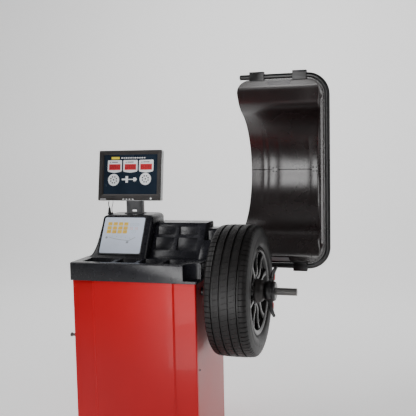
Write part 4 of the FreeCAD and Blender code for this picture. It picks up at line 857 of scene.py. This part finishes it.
def make_monitor():
    """The monitor's bezel, trim, back with vents, screen, touch marks and power button."""
    face = monitor_plane(MON_FACE)
    w, h = MON_RIGHT - MON_LEFT, MON_HIGH - MON_LOW
    a, b0, b1 = BEZEL_SIDE, BEZEL_LOW, BEZEL_HIGH
    bm = bmesh.new()
    frame_loop(bm, face, [
        (0.0, w, 0.0, h, 0.004, -0.010),
        (0.0, w, 0.0, h, 0.004, -0.0015),
        (0.0012, w - 0.0012, 0.0012, h - 0.0012, 0.004, 0.0),
        (0.010, w - 0.010, 0.012, h - 0.009, 0.003, 0.0),
        (0.0118, w - 0.0118, 0.014, h - 0.0108, 0.003, -0.0022),
        (0.0160, w - 0.0160, 0.022, h - 0.0135, 0.002, -0.0026),
        (a - 0.003, w - a + 0.003, b0 - 0.003, h - b1 + 0.003, 0.001, -0.0058),
        (a, w - a, b0, h - b1, 0.001, -0.0085),
        (a, w - a, b0, h - b1, 0.001, -0.010),
    ], 4)
    piece("monitor_front", bm, 28, "monitor", "black_plastic", "monitor_bezel")

    bm = bmesh.new()
    frame_loop(bm, face, [
        (-0.0015, w + 0.0015, -0.0015, h + 0.0015, 0.006, -0.012),
        (-0.0015, w + 0.0015, -0.0015, h + 0.0015, 0.006, -0.0040),
        (-0.0004, w + 0.0004, -0.0004, h + 0.0004, 0.005, -0.0034),
        (-0.0004, w + 0.0004, -0.0004, h + 0.0004, 0.005, -0.012),
    ], 4)
    piece("monitor_trim", bm, 35, "monitor", "silver_plastic")

    bm = bmesh.new()
    rings = []
    for depth, grow, r in ((-0.010, 0.0, 0.005), (-0.034, 0.0, 0.007), (-0.038, -0.0015, 0.008),
                           (-0.0405, -0.005, 0.010), (-0.042, -0.010, 0.012)):
        rings.append([face.at(u, v, depth) for u, v in round_rect(-grow, w + grow, -grow, h + grow, r, 4)])
    skin(bm, rings)
    piece("monitor_back", bm, 35, "monitor", "silver_plastic", "monitor_housing")
    bm = bmesh.new()
    back = monitor_plane(0.0224)
    for row in range(2):
        for k in range(15):
            u = 0.05 + 0.0162 * k
            v = 0.205 if row else 0.030
            slot = rect(u, u + 0.005, v, v + 0.018)
            skin(bm, [[back.at(*p, depth) for p in slot] for depth in (0.0006, -0.0006)])
    piece("monitor_vents", bm, 35, "monitor", "black_plastic")

    bm = bmesh.new()
    badge(bm, face, rect(a - 0.004, w - a + 0.004, b0 - 0.004, h - b1 + 0.004), -0.016, -GLASS_DEPTH)
    piece("monitor_glass", bm, 30, "monitor", "screen_glass", "monitor_screen")

    make_picture()

    bm = bmesh.new()
    for k in range(4):
        u = 0.134 + 0.0165 * k
        badge(bm, face, round_rect(u, u + 0.010, 0.0035, 0.0080, 0.0018, 3), -0.0005, 0.0008, 0.0003)
    badge(bm, face, round_rect(0.012, 0.044, 0.0045, 0.0075, 0.001, 3), -0.0005, 0.0004)
    piece("monitor_touch_marks", bm, 35, "monitor", "silver_plastic", look=WHITE)

    bm = bmesh.new()
    centre = (MON_RIGHT - 0.050 - MON_LEFT, 0.009)
    rings = []
    for depth, r in ((-0.0112, 0.0049), (0.0012, 0.0049), (0.0019, 0.0043), (0.002, 0.0030),
                     (0.0014, 0.0012)):
        rings.append([face.at(u, v, depth) for u, v in disc(*centre, r, 28)])
    skin(bm, rings)
    piece("monitor_power_key", bm, 35, "monitor_key", "silver_plastic", "monitor_button")


# each route in millimetres, from its gland up into the monitor
LEADS = (
    ("video", [(-235, 55, 1176), (-238, 53, 1187), (-238.5, 52, 1198), (-236, 53.5, 1208)], 2.2),
    ("power", [(-224, 63, 1151), (-225, 60, 1166), (-221, 56, 1181), (-215, 54, 1195), (-214, 56, 1208)],
     1.5),
)


def make_leads():
    """The two leads between the console and the monitor, and the glands they come out of."""
    for name, route, radius in LEADS:
        path = spline(route)
        bm = bmesh.new()
        sweep(bm, path, radius * MM, 14)
        lead = finish_mesh(f"{name}_lead", bm, MATERIALS["cable_black"], 60)
        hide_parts(f"{name}_cable")
        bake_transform(lead)

    # a collar with a ribbed sleeve that tapers upwards, and a plain collar
    x, y, foot = -0.235, 0.055, 1.1428
    rings = [level_disc(x, y, foot, 0.0105, 24), level_disc(x, y, 1.1485, 0.0105, 24)]
    for k in range(21):
        r = 0.0085 - 0.0040 * k / 20 + (0.0006 if k % 2 else -0.0004)
        rings.append(level_disc(x, y, 1.149 + 0.027 * k / 20, r, 24))
    bm = bmesh.new()
    skin(bm, rings)
    skin(bm, [level_disc(-0.224, 0.063, z, r, 20)
              for z, r in ((foot, 0.005), (1.149, 0.005), (1.1510, 0.0038))])
    piece("lead_glands", bm, 40, "machine", "black_plastic", "cable_glands", look=MATERIALS["cable_black"])


# ------------------------------------------------------------------ small dressings

def make_fasteners():
    """Round-headed screws with a recess, on the sheets and on the guard's bracket."""
    bm = bmesh.new()
    spots = []
    for z in (0.060, 0.450, 0.830):
        for y in (-0.195, 0.195):
            spots += [((-0.305, y, z), (-1, 0, 0)), ((0.305, y, z), (1, 0, 0))]
        spots.append(((-0.285, 0.215, z), (0, 1, 0)))
        if z < 0.7:
            spots.append(((0.285, 0.215, z), (0, 1, 0)))
    for x in (0.236, 0.280):
        for z in (0.742, 0.846):
            spots.append(((x, 0.221, z), (0, 1, 0)))
    for origin, out in spots:
        out = Vector(out)
        side = Vector((0, 0, 1)).cross(out)
        plane = Plane(origin, side, (0, 0, 1))
        rings = []
        for r, w in ((0.005, 0.0), (0.005, 0.0012), (0.0042, 0.0024), (0.0028, 0.003), (0.0016, 0.003),
                     (0.0012, 0.0018)):
            rings.append([plane.at(u, v, w) for u, v in disc(0, 0, r, 20)])
        skin(bm, rings)
    piece("panel_screw_heads", bm, 40, "machine", "dark_steel", "panel_screws")


def make_spring():
    """The centring cone's spring, held at the length the wheel presses it to."""
    turns, steps, start, length, radius = 4, 32, 0.455, 0.022, 0.030
    bm = bmesh.new()
    path = []
    for k in range(turns * steps + 1):
        a = 2 * math.pi * k / steps
        path.append((start + length * k / (turns * steps), radius * math.cos(a),
                     SPINDLE_Z + radius * math.sin(a)))
    sweep(bm, path, 0.0022, 10)
    piece("cone_spring_coil", bm, 60, "spindle", "dark_steel", "cone_spring")


make_tyre()
make_rim()
make_spindle()
make_nut()
make_hood()
make_console()
make_keypad()
make_monitor()
make_leads()
make_fasteners()
make_spring()
for node, width in (("pocket_bank", 0.0022), ("weight_tray", 0.0012), ("hood_clips", 0.003),
                    ("hood_edge_plates", 0.0008), ("monitor_post", 0.0008), ("gauge_bush", 0.001),
                    ("hood_bracket", 0.0012), ("front_panel", 0.0006), ("floor_plate", 0.0015),
                    ("storage_pegs", 0.001), ("gauge_arm", 0.001), ("power_inlet", 0.0008),
                    ("power_switch", 0.001)):
    softened(node, width)
# the side panels take the darker copy of the red paint, as painted shade
for node in ("right_panel", "left_panel"):
    nodes[node].data.materials[0] = SHADED_SIDE_RED


# ------------------------------------------------------------------ stage, light and camera

STAGE = material("studio_pale", (0.88, 0.88, 0.88), 0.8, vary=0.01, scale=2)
STAGE.node_tree.nodes["Principled BSDF"].inputs["Emission Color"].default_value = (1, 1, 1, 1)
STAGE.node_tree.nodes["Principled BSDF"].inputs["Emission Strength"].default_value = 0.5


def stage_sheet():
    """A pale floor that curves up into a back wall."""
    bm = bmesh.new()
    profile = [(-9.0, 0.0)] + [(-6 + 1.2 * k, 0.0) for k in range(8)]
    for k in range(1, 13):
        a = math.radians(90 * k / 12)
        profile.append((3.0 + 1.5 * math.sin(a), 1.5 - 1.5 * math.cos(a)))
    profile += [(4.5, 3.0), (4.5, 6.5)]
    rows = [[bm.verts.new((x, y, z - 0.001)) for y, z in profile] for x in (-9, -3, 0, 3, 9)]
    for a, b in zip(rows, rows[1:]):
        for i in range(len(profile) - 1):
            bm.faces.new((a[i], a[i + 1], b[i + 1], b[i]))
    floor = finish_mesh("studio_floor", bm, STAGE, 80)


def softbox(name, location, target, size_x, size_y, power, spread=160):
    """A rectangular light that faces a target, with its power in watts and spread in degrees."""
    data = bpy.data.lights.new(name, "AREA")
    data.shape = "RECTANGLE"
    data.size, data.size_y = size_x, size_y
    data.energy = power
    data.spread = math.radians(spread)
    obj = bpy.data.objects.new(name, data)
    obj.location = location
    obj.rotation_euler = (Vector(target) - Vector(location)).to_track_quat("-Z", "Y").to_euler()
    bpy.context.scene.collection.objects.link(obj)


stage_sheet()
softbox("key_left", (-2.8, -1.8, 2.8), (0.0, 0, 1.0), 1.6, 1.6, 30)
# gridded cards in an arc in front of the guard, which shows them as one soft band
BAND, CARD_REACH = (0.60, 0.85, 1.33), 3.0
for lift, power in ((-22, 1.3), (-3, 1.3), (17, 1.2)):
    reach = CARD_REACH * math.cos(math.radians(lift))
    rise = CARD_REACH * math.sin(math.radians(lift))
    softbox(f"guard_card_{lift + 30}", (0.59 - 0.165 * reach, BAND[1] - reach, BAND[2] + rise), BAND,
            0.55, 1.05, power, 44)
softbox("fill_right", (2.9, -0.9, 2.2), (0.3, 0, 1.0), 1.2, 1.6, 9)
softbox("top_left_light", (-1.9, -0.5, 3.6), (0.0, 0, 1.0), 1.4, 1.4, 22)
softbox("back_wall_light", (0.0, 1.7, 3.6), (0.0, 4.5, 1.6), 4.0, 1.0, 60)

world = bpy.data.worlds.new("studio_air")
world.use_nodes = True
world.node_tree.nodes["Background"].inputs["Color"].default_value = (1, 1, 1, 1)
world.node_tree.nodes["Background"].inputs["Strength"].default_value = 0.10
bpy.context.scene.world = world

CAMERA_AT = (1.258, -3.2276, 1.482)
yaw, pitch, roll = math.radians(16.5), math.radians(5.1), math.radians(1.2)
forward = Vector((-math.sin(yaw) * math.cos(pitch), math.cos(yaw) * math.cos(pitch), -math.sin(pitch)))
level = Vector((math.cos(yaw), math.sin(yaw), 0))
above = level.cross(forward)
right_dir = level * math.cos(roll) - above * math.sin(roll)
up_dir = level * math.sin(roll) + above * math.cos(roll)
camera_data = bpy.data.cameras.new("camera")
camera_data.sensor_width = 36
camera_data.lens = 61.2
camera = bpy.data.objects.new("camera", camera_data)
camera.matrix_world = Matrix((
    (right_dir.x, up_dir.x, -forward.x, CAMERA_AT[0]),
    (right_dir.y, up_dir.y, -forward.y, CAMERA_AT[1]),
    (right_dir.z, up_dir.z, -forward.z, CAMERA_AT[2]),
    (0, 0, 0, 1),
))
bpy.context.scene.collection.objects.link(camera)
bpy.context.scene.camera = camera
